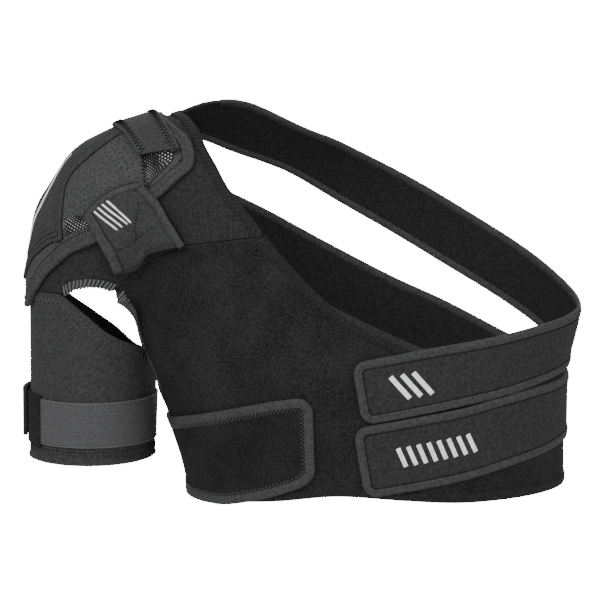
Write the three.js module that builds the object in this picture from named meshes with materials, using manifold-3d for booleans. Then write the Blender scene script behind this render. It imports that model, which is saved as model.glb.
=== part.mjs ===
// Right shoulder brace of neoprene, as worn: a chest panel and a shoulder yoke with a
// sleeve, a padded cap over the shoulder, and straps round the back to the chest.
// Millimetres. X runs across the chest from the braced shoulder, Y to the wearer's back,
// Z up. The origin is where the brace sits on the top of the shoulder.

import * as THREE from 'three';
import { mergeVertices } from 'three/addons/utils/BufferGeometryUtils.js';
import Module from 'manifold-3d';

const wasm = await Module();
wasm.setup();

// The body that the brace is shaped round
const SHOULDER_RADIUS = 54;      // rounding of the shoulder over its joint
const ARM_DEPTH_RATIO = 1.1;     // arm and shoulder, front to back over side to side
const CHEST_OFFSET = 172;        // from the top of the shoulder to the middle of the chest
const CHEST_HALF_WIDTH = 180;
const CHEST_HALF_DEPTH = 113;
const CHEST_SQUARENESS = 2.3;    // 2 is an ellipse in plan
const CHEST_CROWN_AT = 0.487;    // share of the drop where the chest starts to close
const CHEST_CROWN_RISE = 150;    // height over which it closes
const CHEST_CROWN_FULLNESS = 3.2;
const ARMPIT_BLEND = 26;         // rounding where arm and chest meet
const ARMPIT_DOWN = 0.45;        // share of the drop where the chest's cloth leaves the arm
const ARM_LEAVE = 1;             // how fast the arm recedes from it, for each unit down
const BRACE_DROP = 300;          // top of the shoulder down to the bottom hem

// Cloth
const NEOPRENE = 3;
const CAP_FOAM = 2.8;
const PAD_FOAM = 2.4;
const BINDING = 1.2;
const MESH = 1;
const WEBBING = 2.4;
const STRAP = 2.8;
const ELASTIC = 1.8;
const PATCH = 2.4;
const FOLDED_TAB = 4;
const SEAM_GAP = 0.3;            // between pieces sewn to each other

// Air between cloths that only lie on each other, as their flat facets need it
const ARM_LAY_GAP = 0.45;
const PAD_LAY_GAP = 1.2;
const STRAP_LAY_GAP = 1.15;
const CAP_LAY_GAP = 1.4;

// Straps
const UPPER_STRAP_WIDTH = 49;
const LOWER_STRAP_WIDTH = 52;
const ARM_STRAP_WIDTH = 38;
const ARM_STRAP_DROP = 219;      // shoulder down to the top of the arm strap
const ARM_PATCH_RAISE = 2;       // how far the patch stands above and below the arm strap
const ARM_TAB_RAISE = 5;         // how far the folded tab stands above it
const ARM_TAB_LENGTH = 41;
const STRAP_CORNER = 10;
const SIDE_TAB_CORNER = 12;
const SIDE_TAB_REACH = 190;      // from the right flank to the side tab's rounded end
const PULL_TAB_BRIDGE = 3.2;     // how far the pull tab's end stands off before the armpit
const SLEEVE_FLARE = 2.5;        // how far the sleeve's hem stands off the arm

// Balls that the arm and the shoulder are swept through, from the elbow to the neck.
// across is a share of CHEST_OFFSET; crest is how far the ball's top lies under the
// shoulder's, as a share of BRACE_DROP; girth is a share of SHOULDER_RADIUS.
const GIRDLE = [
  { across: -0.297, crest: 1.097, girth: 0.861 },
  { across: -0.267, crest: 0.262, girth: 0.935 },
  { across: -0.203, crest: 0.113, girth: 1 },
  { across: -0.116, crest: 0.033, girth: 0.985 },
  { across: 0, crest: 0, girth: 1 },
  { across: 0.552, crest: -0.097, girth: 1.056 },
];

// Level sections of the chest, from the waist up. down is a share of BRACE_DROP, middle
// of CHEST_OFFSET, width of CHEST_HALF_WIDTH and depth of CHEST_HALF_DEPTH.
const CHEST = [
  { down: 1.25, middle: 1.093, width: 0.833, depth: 0.885 },
  { down: 0.987, middle: 1.093, width: 0.85, depth: 0.92 },
  { down: 0.793, middle: 1.049, width: 0.892, depth: 0.973 },
  { down: 0.607, middle: 0.994, width: 0.961, depth: 1 },
  { down: 0.487, middle: 0.997, width: 0.997, depth: 1 },
  { down: -0.3, middle: 0.997, width: 0.997, depth: 1 },
];

// Edges of the chest panel, a row for each height: down is a share of BRACE_DROP, turn is
// degrees round the chest from its front, the wearer's left flank at 90. leftFrom is where
// the left edge is looked at from, as a share of CHEST_OFFSET: from the chest's middle, or
// for the armhole's edge from nearer the arm.
const CHEST_PANEL = [
  { leftDown: 1.003, leftTurn: -84, leftFrom: 1, rightDown: 0.975, rightTurn: 104 },
  { leftDown: 0.88, leftTurn: -84, leftFrom: 1, rightDown: 0.91, rightTurn: 101 },
  { leftDown: 0.79, leftTurn: -84, leftFrom: 1, rightDown: 0.83, rightTurn: 96 },
  { leftDown: 0.72, leftTurn: -83, leftFrom: 1, rightDown: 0.7, rightTurn: 52 },
  { leftDown: 0.66, leftTurn: -62, leftFrom: 0.465, rightDown: 0.616, rightTurn: 32.9 },
  { leftDown: 0.6, leftTurn: -34, leftFrom: 0.116, rightDown: 0.551, rightTurn: 16.6 },
  { leftDown: 0.54, leftTurn: -54, leftFrom: 0.116, rightDown: 0.477, rightTurn: -5.2 },
  { leftDown: 0.493, leftTurn: -47.5, leftFrom: 0.116, rightDown: 0.411, rightTurn: -16.9 },
  { leftDown: 0.44, leftTurn: -41, leftFrom: 0.116, rightDown: 0.319, rightTurn: -29.4 },
  { leftDown: 0.33, leftTurn: -44, leftFrom: 0.116, rightDown: 0.188, rightTurn: -44.9 },
];

// Bottom hem of the chest panel round the chest
const HEM = [
  { turn: -84, down: 1.003 },
  { turn: -39, down: 0.974 },
  { turn: -8, down: 0.95 },
  { turn: 20, down: 0.962 },
  { turn: 43, down: 0.972 },
  { turn: 70, down: 0.97 },
  { turn: 104, down: 0.975 },
];
const HEM_FADE = 3;              // how fast the hem's line dies out up the panel
const ARMHOLE_FADE = 3;          // how fast the armhole's dies out across it

// Outline of the shoulder yoke, seen from over the crown of the shoulder: around is 0 at
// the arm's outside, 90 at the front, 180 at the neck and 270 at the back; reach is in
// degrees from the crown.
const YOKE = [
  { around: 0, reach: 108 },
  { around: 30, reach: 118 },
  { around: 60, reach: 134 },
  { around: 90, reach: 142 },
  { around: 118, reach: 134 },
  { around: 133, reach: 122 },
  { around: 136, reach: 115.1 },
  { around: 138.3, reach: 107.5 },
  { around: 140.5, reach: 102.7 },
  { around: 145.7, reach: 93.4 },
  { around: 152.6, reach: 81.7 },
  { around: 162.7, reach: 71.4 },
  { around: 178, reach: 64.4 },
  { around: 198, reach: 71 },
  { around: 210, reach: 82 },
  { around: 222, reach: 95 },
  { around: 236, reach: 113 },
  { around: 252, reach: 126 },
  { around: 275, reach: 134 },
  { around: 300, reach: 132 },
  { around: 330, reach: 118 },
];

// Front edge of the yoke: across is a share of CHEST_OFFSET and down of BRACE_DROP. It
// runs from the sleeve over the armhole's arch and along the seam to the chest panel.
const YOKE_FRONT = [
  { across: -1.2, down: 0.433 },
  { across: -0.37, down: 0.433 },
  { across: -0.335, down: 0.418 },
  { across: -0.27, down: 0.41 },
  { across: -0.21, down: 0.412 },
  { across: -0.172, down: 0.42 },
  { across: -0.15, down: 0.424 },
  { across: -0.074, down: 0.377 },
  { across: 0.022, down: 0.345 },
  { across: 0.197, down: 0.293 },
  { across: 0.357, down: 0.277 },
  { across: 0.8, down: 0.24 },
];

// Back edge of the yoke, from the sleeve down over the shoulder blade
const YOKE_BACK = [
  { across: -1.2, down: 0.433 },
  { across: -0.42, down: 0.433 },
  { across: -0.3, down: 0.425 },
  { across: -0.18, down: 0.435 },
  { across: -0.08, down: 0.48 },
  { across: 0.02, down: 0.53 },
  { across: 0.12, down: 0.55 },
  { across: 0.8, down: 0.55 },
];

// Outline of the padded cap, in the same way round the crown
const CAP = [
  { around: 0, reach: 108.5 },
  { around: 13.5, reach: 108.4 },
  { around: 20.3, reach: 105.3 },
  { around: 25.1, reach: 103.7 },
  { around: 33.5, reach: 100.6 },
  { around: 44.5, reach: 98.3 },
  { around: 57.7, reach: 96.3 },
  { around: 69.2, reach: 97.1 },
  { around: 80, reach: 98 },
  { around: 104.8, reach: 95.5 },
  { around: 126.3, reach: 92.6 },
  { around: 132.3, reach: 91.3 },
  { around: 137.3, reach: 89.8 },
  { around: 142.5, reach: 88.8 },
  { around: 145.1, reach: 86.7 },
  { around: 148.7, reach: 82.2 },
  { around: 151.9, reach: 77.2 },
  { around: 155.5, reach: 71 },
  { around: 162.1, reach: 64.1 },
  { around: 171.7, reach: 59.2 },
  { around: 188, reach: 58.5 },
  { around: 203, reach: 66 },
  { around: 216, reach: 80 },
  { around: 228, reach: 88 },
  { around: 267, reach: 94.5 },
  { around: 285, reach: 96 },
  { around: 315, reach: 96 },
  { around: 330, reach: 99.5 },
  { around: 346, reach: 105 },
];
const CAP_BORDER = 7.5;          // width of the cap's binding, degrees from the crown
const CAP_OVERHANG = 0.6;        // how far the binding passes the cap's edge, degrees
const CAP_CLEARANCE = 1.5;       // from the cap's edge to the upper strap, degrees
const EDGE_MARGIN = 3;           // degrees beyond the cap where an overlay starts to come down
const EDGE_FALL = 16;            // degrees over which it comes down on the panel

// The centre pad of the cap, from its tip at the arm to the keeper loop. out is degrees
// from the crown to the arm's outside, half is half its width in degrees, front and back.
const CENTRE_PAD = [
  { out: 99, half: 6 },
  { out: 95, half: 16 },
  { out: 87, half: 28.5 },
  { out: 74, half: 47 },
  { out: 60, half: 61 },
  { out: 50, half: 70 },
  { out: 46.7, half: 68.3 },
  { out: 43.7, half: 65 },
  { out: 36.2, half: 59 },
  { out: 28.4, half: 52.2 },
  { out: 17.1, half: 42.3 },
  { out: 5, half: 37.9 },
  { out: -7.6, half: 36 },
  { out: -19.7, half: 31 },
  { out: -31, half: 27 },
];

// Overlays on the shoulder: their two edges, row by row, as degrees out and fore of the
// crown, and how far the row's middle bows to the front
const KEEPER_LOOP = [
  { leftOut: -47.8, leftFore: 48.8, rightOut: -66.3, rightFore: 44.5, bow: 0 },
  { leftOut: -44.3, leftFore: 38.6, rightOut: -63.9, rightFore: 37.7, bow: 0 },
  { leftOut: -40.2, leftFore: 24.2, rightOut: -61.3, rightFore: 28.6, bow: 0 },
  { leftOut: -36.8, leftFore: 10.6, rightOut: -58.6, rightFore: 14.6, bow: 0 },
  { leftOut: -34, leftFore: -10, rightOut: -56, rightFore: -8, bow: 0 },
  { leftOut: -35, leftFore: -32, rightOut: -57, rightFore: -29, bow: 0 },
  { leftOut: -40, leftFore: -50, rightOut: -59, rightFore: -46, bow: 0 },
];
const PULL_TAB = [
  { leftOut: 16.5, leftFore: 78.5, rightOut: -44.5, rightFore: 67.2, bow: 0 },
  { leftOut: 18.3, leftFore: 88.4, rightOut: -51.5, rightFore: 72.9, bow: 3 },
  { leftOut: 21.1, leftFore: 96.5, rightOut: -58, rightFore: 78.5, bow: 7 },
  { leftOut: 23.2, leftFore: 104.3, rightOut: -61.4, rightFore: 85.7, bow: 11 },
  { leftOut: 27.7, leftFore: 110.2, rightOut: -62.9, rightFore: 92.7, bow: 15.5 },
  { leftOut: 35.4, leftFore: 116.6, rightOut: -62.2, rightFore: 99.8, bow: 21 },
];
const LOW_WINDOW = [
  { leftOut: 46.5, leftFore: 71.3, rightOut: 41, rightFore: 65.8, bow: 0 },
  { leftOut: 31.4, leftFore: 80.6, rightOut: 29, rightFore: 69.5, bow: 0 },
  { leftOut: 15, leftFore: 86, rightOut: 16, rightFore: 78, bow: 0 },
];
const HIGH_WINDOW = [
  { leftOut: -49.2, leftFore: 44.7, rightOut: -63.8, rightFore: 40.5, bow: 0 },
  { leftOut: -48.7, leftFore: 53.8, rightOut: -64, rightFore: 48.5, bow: 0 },
  { leftOut: -48.9, leftFore: 62, rightOut: -58, rightFore: 58.3, bow: 0 },
  { leftOut: -49, leftFore: 68.6, rightOut: -51.3, rightFore: 66.3, bow: 0 },
];

// Top edge of the sleeve round the arm: around is 0 at its outside and 90 at its front,
// down is a share of BRACE_DROP. Its outer part is sewn to the yoke.
const SLEEVE_TOP = [
  { around: -180, down: 0.635 },
  { around: -132, down: 0.622 },
  { around: -102, down: 0.566 },
  { around: -76, down: 0.511 },
  { around: -60, down: 0.475 },
  { around: -50, down: 0.434 },
  { around: 0, down: 0.434 },
  { around: 62, down: 0.434 },
  { around: 70, down: 0.449 },
  { around: 87, down: 0.489 },
  { around: 111, down: 0.547 },
  { around: 140, down: 0.586 },
  { around: 180, down: 0.635 },
];
const SLEEVE_HEM = { down: 0.907 };

// Side tab, the belt's end that comes round the right flank: turn in degrees, top and
// low as shares of BRACE_DROP
const SIDE_TAB = [
  { turn: -116, top: 0.79, low: 1.0 },
  { turn: -84, top: 0.785, low: 1.003 },
  { turn: -60, top: 0.748, low: 0.997 },
  { turn: -42, top: 0.712, low: 0.968 },
  { turn: -30, top: 0.692, low: 0.94 },
  { turn: -19, top: 0.683, low: 0.914 },
];

// The rest of the belt, round the back from the chest panel's end to the side tab
const BELT = [
  { turn: 104.3, top: 0.83, low: 0.985 },
  { turn: 150, top: 0.8, low: 0.975 },
  { turn: 200, top: 0.785, low: 0.98 },
  { turn: 243.7, top: 0.79, low: 1.0 },
];

// Middle lines of the straps, from the back of the yoke round the left flank to the chest:
// across is a share of CHEST_OFFSET, behind of CHEST_HALF_DEPTH, down of BRACE_DROP and
// width of the strap's own width.
const UPPER_STRAP = [
  { across: 0.07, behind: 0.17, down: -0.02, width: 1 },
  { across: 0.31, behind: 0.38, down: -0.01, width: 1 },
  { across: 0.49, behind: 0.55, down: 0.03, width: 1 },
  { across: 0.72, behind: 0.72, down: 0.09, width: 1 },
  { across: 0.99, behind: 0.88, down: 0.175, width: 1 },
  { across: 1.25, behind: 0.95, down: 0.255, width: 1 },
  { across: 1.52, behind: 0.93, down: 0.345, width: 1 },
  { across: 1.77, behind: 0.78, down: 0.43, width: 1 },
  { across: 1.97, behind: 0.48, down: 0.51, width: 0.98 },
  { across: 2.05, behind: 0.1, down: 0.553, width: 0.96 },
  { across: 2.0, behind: -0.37, down: 0.57, width: 0.96 },
  { across: 1.86, behind: -0.7, down: 0.588, width: 0.96 },
  { across: 1.65, behind: -0.88, down: 0.608, width: 0.98 },
  { across: 1.33, behind: -1.0, down: 0.636, width: 1 },
  { across: 0.99, behind: -1.03, down: 0.671, width: 1 },
];
const LOWER_STRAP = [
  { across: 0.13, behind: 0.58, down: 0.235, width: 1 },
  { across: 0.27, behind: 0.68, down: 0.275, width: 1 },
  { across: 0.5, behind: 0.86, down: 0.345, width: 1 },
  { across: 0.74, behind: 0.98, down: 0.425, width: 1 },
  { across: 1.14, behind: 1.02, down: 0.545, width: 1 },
  { across: 1.4, behind: 0.97, down: 0.61, width: 1 },
  { across: 1.72, behind: 0.8, down: 0.69, width: 0.97 },
  { across: 1.94, behind: 0.45, down: 0.735, width: 0.94 },
  { across: 2.02, behind: 0, down: 0.752, width: 0.93 },
  { across: 1.97, behind: -0.38, down: 0.758, width: 0.95 },
  { across: 1.83, behind: -0.68, down: 0.771, width: 1 },
  { across: 1.66, behind: -0.85, down: 0.789, width: 1.06 },
  { across: 1.5, behind: -0.93, down: 0.81, width: 1.08 },
  { across: 1.26, behind: -1.0, down: 0.835, width: 1.1 },
  { across: 1.0, behind: -1.03, down: 0.862, width: 1.1 },
];

// Arm strap: degrees round the arm where each piece starts and ends
const ARM_STRAP_SPAN = { from: 40.5, to: 350 };
const ARM_PATCH_SPAN = { from: -9.5, to: 40 };
const ARM_TAB_SPAN = { from: -20, to: 10 };

// Smooth line through one column of a table
function column(rows, key, name) {
  const at = rows.map((row) => row[key]);
  const value = rows.map((row) => row[name]);
  const rise = at.slice(1).map((next, i) => (value[i + 1] - value[i]) / (next - at[i]));
  const slope = value.map((_, i) => {
    if (i === 0 || i === value.length - 1 || rise[i - 1] * rise[i] <= 0) return 0;
    return (2 * rise[i - 1] * rise[i]) / (rise[i - 1] + rise[i]);
  });
  return (x) => {
    let i = 0;
    while (i < at.length - 2 && (x - at[i + 1]) * Math.sign(at[1] - at[0]) > 0) i += 1;
    const span = at[i + 1] - at[i];
    const t = Math.min(Math.max((x - at[i]) / span, 0), 1);
    const keep = 2 * t ** 3 - 3 * t ** 2 + 1;
    const leave = (t ** 3 - 2 * t ** 2 + t) * span;
    const arrive = (t ** 3 - t ** 2) * span;
    return keep * value[i] + leave * slope[i] + (1 - keep) * value[i + 1] + arrive * slope[i + 1];
  };
}

// The same for a table whose rows are evenly spaced from 0 to 1
function profile(rows, name) {
  const spaced = rows.map((row, i) => ({ ...row, place: i / (rows.length - 1) }));
  return column(spaced, 'place', name);
}

// The same for a closed outline round the crown
function outline(rows) {
  const before = rows.map((row) => ({ ...row, around: row.around - 360 }));
  const after = rows.map((row) => ({ ...row, around: row.around + 360 }));
  return column([...before, ...rows, ...after], 'around', 'reach');
}

const girdleBalls = GIRDLE.map((row) => {
  const radius = row.girth * SHOULDER_RADIUS;
  const z = -row.crest * BRACE_DROP - radius;
  return { centre: new THREE.Vector3(row.across * CHEST_OFFSET, 0, z), radius };
});
const armBalls = girdleBalls.slice(0, 3);
const chestMiddle = column(CHEST, 'down', 'middle');
const chestWidth = column(CHEST, 'down', 'width');
const chestDepth = column(CHEST, 'down', 'depth');

function sweepDistance(point, balls) {
  const p = new THREE.Vector3(point.x, point.y / ARM_DEPTH_RATIO, point.z);
  let nearest = Infinity;
  for (let i = 0; i < balls.length - 1; i += 1) {
    const axis = balls[i + 1].centre.clone().sub(balls[i].centre);
    const offset = p.clone().sub(balls[i].centre);
    const t = Math.min(Math.max(offset.dot(axis) / axis.lengthSq(), 0), 1);
    const radius = balls[i].radius + (balls[i + 1].radius - balls[i].radius) * t;
    nearest = Math.min(nearest, offset.sub(axis.multiplyScalar(t)).length() - radius);
  }
  return nearest;
}

function chestDistance(point) {
  const down = -point.z / BRACE_DROP;
  const dx = point.x - chestMiddle(down) * CHEST_OFFSET;
  const dy = point.y;
  const over = Math.max(point.z + CHEST_CROWN_AT * BRACE_DROP, 0);
  const n = CHEST_SQUARENESS;
  const level = (Math.abs(dx) / (chestWidth(down) * CHEST_HALF_WIDTH)) ** n
    + (Math.abs(dy) / (chestDepth(down) * CHEST_HALF_DEPTH)) ** n
    + (over / CHEST_CROWN_RISE) ** CHEST_CROWN_FULLNESS;
  return Math.hypot(dx, dy, over) * (1 - 1 / Math.max(level, 1e-6) ** (1 / n));
}

const armField = (point) => sweepDistance(point, armBalls);

function blended(chest, girdle) {
  const near = Math.max(ARMPIT_BLEND - Math.abs(chest - girdle), 0) / ARMPIT_BLEND;
  return Math.min(chest, girdle) - (near * near * ARMPIT_BLEND) / 4;
}

// How far a point lies outside the body, negative inside it
const bodyField = (point) => blended(chestDistance(point), sweepDistance(point, girdleBalls));

// The same for cloth that leaves the arm below the armpit and follows the chest
function chestField(point) {
  const below = Math.max(-point.z - ARMPIT_DOWN * BRACE_DROP, 0);
  return blended(chestDistance(point), sweepDistance(point, girdleBalls) + below * ARM_LEAVE);
}

const FAR = 2.3 * CHEST_HALF_WIDTH;   // well outside the body from any point inside it
const STEP_SHARE = 0.6;
const SHORTEST_STEP = 0.05;
const PROBE = 0.5;

// Outermost point of the body on a ray from inside it
function castIn(origin, direction, field) {
  const at = (reach) => origin.clone().addScaledVector(direction, reach);
  let outside = FAR;
  let inside = FAR;
  for (let i = 0; i < 80; i += 1) {
    const gap = field(at(inside));
    if (gap <= 0) break;
    outside = inside;
    inside = Math.max(inside - Math.max(gap * STEP_SHARE, SHORTEST_STEP), 0);
  }
  for (let i = 0; i < 14; i += 1) {
    const middle = (inside + outside) / 2;
    if (field(at(middle)) > 0) outside = middle;
    else inside = middle;
  }
  return at((inside + outside) / 2);
}

function slopeOf(point, field) {
  const slope = new THREE.Vector3();
  for (const axis of ['x', 'y', 'z']) {
    const ahead = point.clone();
    const behind = point.clone();
    ahead[axis] += PROBE;
    behind[axis] -= PROBE;
    slope[axis] = (field(ahead) - field(behind)) / (2 * PROBE);
  }
  return slope;
}

// Moves a point near the body on to it
function settle(guide, field) {
  const point = guide.clone();
  for (let i = 0; i < 6; i += 1) {
    const slope = slopeOf(point, field);
    point.addScaledVector(slope, -field(point) / Math.max(slope.lengthSq(), 1e-6));
  }
  return point;
}

// A place on the chest, looked at from its middle or from a share of the way to it
function onChest(turn, down, from = 1) {
  const angle = THREE.MathUtils.degToRad(turn);
  const origin = new THREE.Vector3(CHEST_OFFSET * from, 0, -down * BRACE_DROP);
  return castIn(origin, new THREE.Vector3(Math.sin(angle), -Math.cos(angle), 0), chestField);
}

// The crown's own axes: up out of the shoulder, out to the arm's side and to the front
const CROWN_TILT = THREE.MathUtils.degToRad(30);
const crownUp = new THREE.Vector3(-Math.sin(CROWN_TILT), 0, Math.cos(CROWN_TILT));
const crownOut = new THREE.Vector3(-Math.cos(CROWN_TILT), 0, -Math.sin(CROWN_TILT));
const crownFore = new THREE.Vector3(0, -1, 0);
const CROWN_CENTRE_ACROSS = -0.174;   // share of CHEST_OFFSET
const CROWN_CENTRE_DOWN = 1.315;      // share of SHOULDER_RADIUS
const crownCentre = new THREE.Vector3(
  CROWN_CENTRE_ACROSS * CHEST_OFFSET, 0, -CROWN_CENTRE_DOWN * SHOULDER_RADIUS,
);

function onCrown(around, reach) {
  const a = THREE.MathUtils.degToRad(around);
  const r = THREE.MathUtils.degToRad(reach);
  const direction = crownUp.clone().multiplyScalar(Math.cos(r))
    .addScaledVector(crownOut, Math.sin(r) * Math.cos(a))
    .addScaledVector(crownFore, Math.sin(r) * Math.sin(a));
  return castIn(crownCentre, direction, bodyField);
}

const toDegrees = THREE.MathUtils.radToDeg;
const onCrownMap = (out, fore) => onCrown(toDegrees(Math.atan2(fore, out)), Math.hypot(out, fore));

function onArm(around, down) {
  const a = THREE.MathUtils.degToRad(around);
  const z = -down * BRACE_DROP;
  const [low, high] = armBalls.map((ball) => ball.centre);
  const t = (z - low.z) / (high.z - low.z);
  const axis = new THREE.Vector3(low.x + (high.x - low.x) * Math.min(t, 1), 0, z);
  const direction = new THREE.Vector3(-Math.cos(a), -Math.sin(a) * ARM_DEPTH_RATIO, 0);
  return castIn(axis, direction.normalize(), armField);
}

// One closed body out of a net of points and the quads between them
function closedBody(points, quads) {
  const corners = [];
  for (const [a, b, c, d] of quads) {
    for (const [i, j, k] of [[a, b, c], [a, c, d]]) corners.push(points[i], points[j], points[k]);
  }
  const loose = new THREE.BufferGeometry().setFromPoints(corners);
  const merged = mergeVertices(loose, 1e-3);
  const index = merged.getIndex().array;
  const kept = [];
  for (let i = 0; i < index.length; i += 3) {
    const [a, b, c] = [index[i], index[i + 1], index[i + 2]];
    if (a !== b && b !== c && c !== a) kept.push(a, b, c);
  }
  const place = merged.getAttribute('position');
  const corner = (i) => new THREE.Vector3().fromBufferAttribute(place, i);
  let volume = 0;
  for (let i = 0; i < kept.length; i += 3) {
    volume += corner(kept[i]).dot(corner(kept[i + 1]).cross(corner(kept[i + 2])));
  }
  merged.setIndex(volume < 0 ? kept.reverse() : kept);
  return merged;
}

// Cloth of a given wall over a net of points on the body. across and along are the counts
// of cells; lift is the space under the cloth. A ring closes on itself across.
function cloth(on, { across, along, lift, wall, ring = false, field = bodyField }) {
  const columns = ring ? across : across + 1;
  const rows = along + 1;
  const inner = [];
  const outer = [];
  for (let j = 0; j < rows; j += 1) {
    for (let i = 0; i < columns; i += 1) {
      const point = on(i / across, j / along);
      const normal = slopeOf(point, field).normalize();
      const under = typeof lift === 'function' ? lift(i / across, j / along, point) : lift;
      inner.push(point.clone().addScaledVector(normal, under));
      outer.push(point.clone().addScaledVector(normal, under + wall));
    }
  }
  const size = rows * columns;
  const at = (i, j) => j * columns + (i % columns);
  const quads = [];
  for (let j = 0; j < along; j += 1) {
    for (let i = 0; i < across; i += 1) {
      const cell = [at(i, j), at(i + 1, j), at(i + 1, j + 1), at(i, j + 1)];
      quads.push(cell.slice().reverse(), cell.map((k) => k + size));
    }
  }
  for (let i = 0; i < across; i += 1) {
    const [a, b, c, d] = [at(i, 0), at(i + 1, 0), at(i, along), at(i + 1, along)];
    quads.push([a, b, b + size, a + size], [d, c, c + size, d + size]);
  }
  for (let j = 0; j < along && !ring; j += 1) {
    const [a, b, c, d] = [at(0, j), at(0, j + 1), at(across, j), at(across, j + 1)];
    quads.push([b, a, a + size, b + size], [c, d, d + size, c + size]);
  }
  return closedBody([...inner, ...outer], quads);
}

const solidOf = (geometry) => {
  const bare = geometry.clone();
  bare.deleteAttribute('normal');
  bare.deleteAttribute('uv');
  const shared = mergeVertices(bare, 1e-4);
  const vertProperties = new Float32Array(shared.getAttribute('position').array);
  const triVerts = new Uint32Array(shared.getIndex().array);
  return new wasm.Manifold(new wasm.Mesh({ numProp: 3, vertProperties, triVerts }));
};

function geometryOf(solid) {
  const mesh = solid.getMesh();
  const geometry = new THREE.BufferGeometry();
  geometry.setAttribute('position', new THREE.BufferAttribute(mesh.vertProperties, 3));
  geometry.setIndex(new THREE.BufferAttribute(mesh.triVerts, 1));
  return geometry;
}

// The largest body of a solid, without the slivers that a cut can leave
function mainBody(solid) {
  const bodies = solid.decompose();
  return bodies.reduce((best, next) => (next.volume() > best.volume() ? next : best));
}

// Block above the yoke's front edge, in front of the body's middle, or behind it above
// the level of the sleeve's seam
const BLOCK_DEPTH = 2.3 * CHEST_HALF_DEPTH;
const BLOCK_TOP = CHEST_CROWN_RISE;
const BLOCK_LAP = 0.4;           // of the front and the back block

function blockAbove(edge, drop, behind) {
  const shape = new THREE.Shape();
  const first = edge[0].across * CHEST_OFFSET;
  const last = edge.at(-1).across * CHEST_OFFSET;
  shape.moveTo(last, BLOCK_TOP);
  shape.lineTo(first, BLOCK_TOP);
  for (const row of edge) shape.lineTo(row.across * CHEST_OFFSET, -row.down * BRACE_DROP - drop);
  shape.closePath();
  const block = new THREE.ExtrudeGeometry(shape, { depth: BLOCK_DEPTH, bevelEnabled: false });
  block.rotateX(Math.PI / 2);
  block.translate(0, behind ? BLOCK_DEPTH - BLOCK_LAP : BLOCK_LAP, 0);
  return solidOf(block);
}

const capReach = outline(CAP);

// Turns an even share round an outline into an angle, so that spokes meet its rows
function spokes(rows) {
  return (u) => {
    const place = u * rows.length;
    const i = Math.floor(place + 1e-9);
    const from = rows[i % rows.length].around + 360 * Math.floor(i / rows.length);
    const to = rows[(i + 1) % rows.length].around + 360 * Math.floor((i + 1) / rows.length);
    return from + (to - from) * (place - i);
  };
}

function onDisc(rows) {
  const reachOf = outline(rows);
  const angle = spokes(rows);
  return (u, v) => onCrown(angle(u), Math.max(v, 1e-4) * reachOf(angle(u)));
}

const CAP_LIFT = NEOPRENE + CAP_LAY_GAP;
const ON_CAP = CAP_LIFT + CAP_FOAM + SEAM_GAP;
const OVER_BINDING = ON_CAP + BINDING + STRAP_LAY_GAP;
const STRAP_LIFT = NEOPRENE + STRAP_LAY_GAP;

// Space under what lies over the cap's edge and comes down on the panel beyond it
function liftOverCap(point, inside) {
  const direction = point.clone().sub(crownCentre).normalize();
  const reach = toDegrees(Math.acos(direction.dot(crownUp)));
  const around = toDegrees(Math.atan2(direction.dot(crownFore), direction.dot(crownOut)));
  const beyond = (reach - capReach((around + 360) % 360) - EDGE_MARGIN) / EDGE_FALL;
  const t = Math.min(Math.max(beyond, 0), 1);
  const fall = t * t * (3 - 2 * t);
  return inside + (CAP_LIFT - inside) * fall;
}

// A piece laid over the shoulder between its two edges
function overlay(rows) {
  const names = ['leftOut', 'leftFore', 'rightOut', 'rightFore', 'bow'];
  const [leftOut, leftFore, rightOut, rightFore, bow] = names.map((name) => profile(rows, name));
  return (u, v) => {
    const out = leftOut(v) + (rightOut(v) - leftOut(v)) * u;
    const fore = leftFore(v) + (rightFore(v) - leftFore(v)) * u;
    return onCrownMap(out, fore + bow(v) * 4 * u * (1 - u));
  };
}

// How much a corner of a radius pulls an edge in, at a distance from the end
function cornerInset(distance, radius) {
  const short = Math.min(Math.max(radius - distance, 0), radius);
  return radius - Math.sqrt(radius * radius - short * short);
}

// Places along a strip that crowd at its far end, where the corner is round
const crowd = (t) => 1 - (1 - t) ** 1.35;

// A band round the chest between two lines, with a round-cornered end if it has a corner
function band(rows, length, corner) {
  const top = column(rows, 'turn', 'top');
  const low = column(rows, 'turn', 'low');
  const first = rows[0].turn;
  const last = rows.at(-1).turn;
  return (u, v) => {
    const place = corner ? crowd(v) : v;
    const turn = first + (last - first) * place;
    const inset = cornerInset((1 - place) * length, corner) / BRACE_DROP;
    const high = top(turn) + inset;
    return onChest(turn, high + (low(turn) - inset - high) * u);
  };
}

// A strap of a given width along a line on the body, with a round-cornered end
function strap(rows, width) {
  const through = rows.map((row) => settle(new THREE.Vector3(
    row.across * CHEST_OFFSET, row.behind * CHEST_HALF_DEPTH, -row.down * BRACE_DROP,
  ), bodyField));
  const line = new THREE.CatmullRomCurve3(through, false, 'centripetal');
  line.arcLengthDivisions = 400;
  const length = line.getLength();
  const share = profile(rows, 'width');
  return (u, v) => {
    const place = crowd(v);
    const middle = settle(line.getPointAt(place), bodyField);
    const normal = slopeOf(middle, bodyField).normalize();
    const side = normal.cross(line.getTangentAt(place)).normalize();
    const inset = cornerInset((1 - place) * length, STRAP_CORNER);
    const half = (width * share(place)) / 2 - inset;
    return settle(middle.addScaledVector(side, (1 - 2 * u) * half), bodyField);
  };
}

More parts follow.
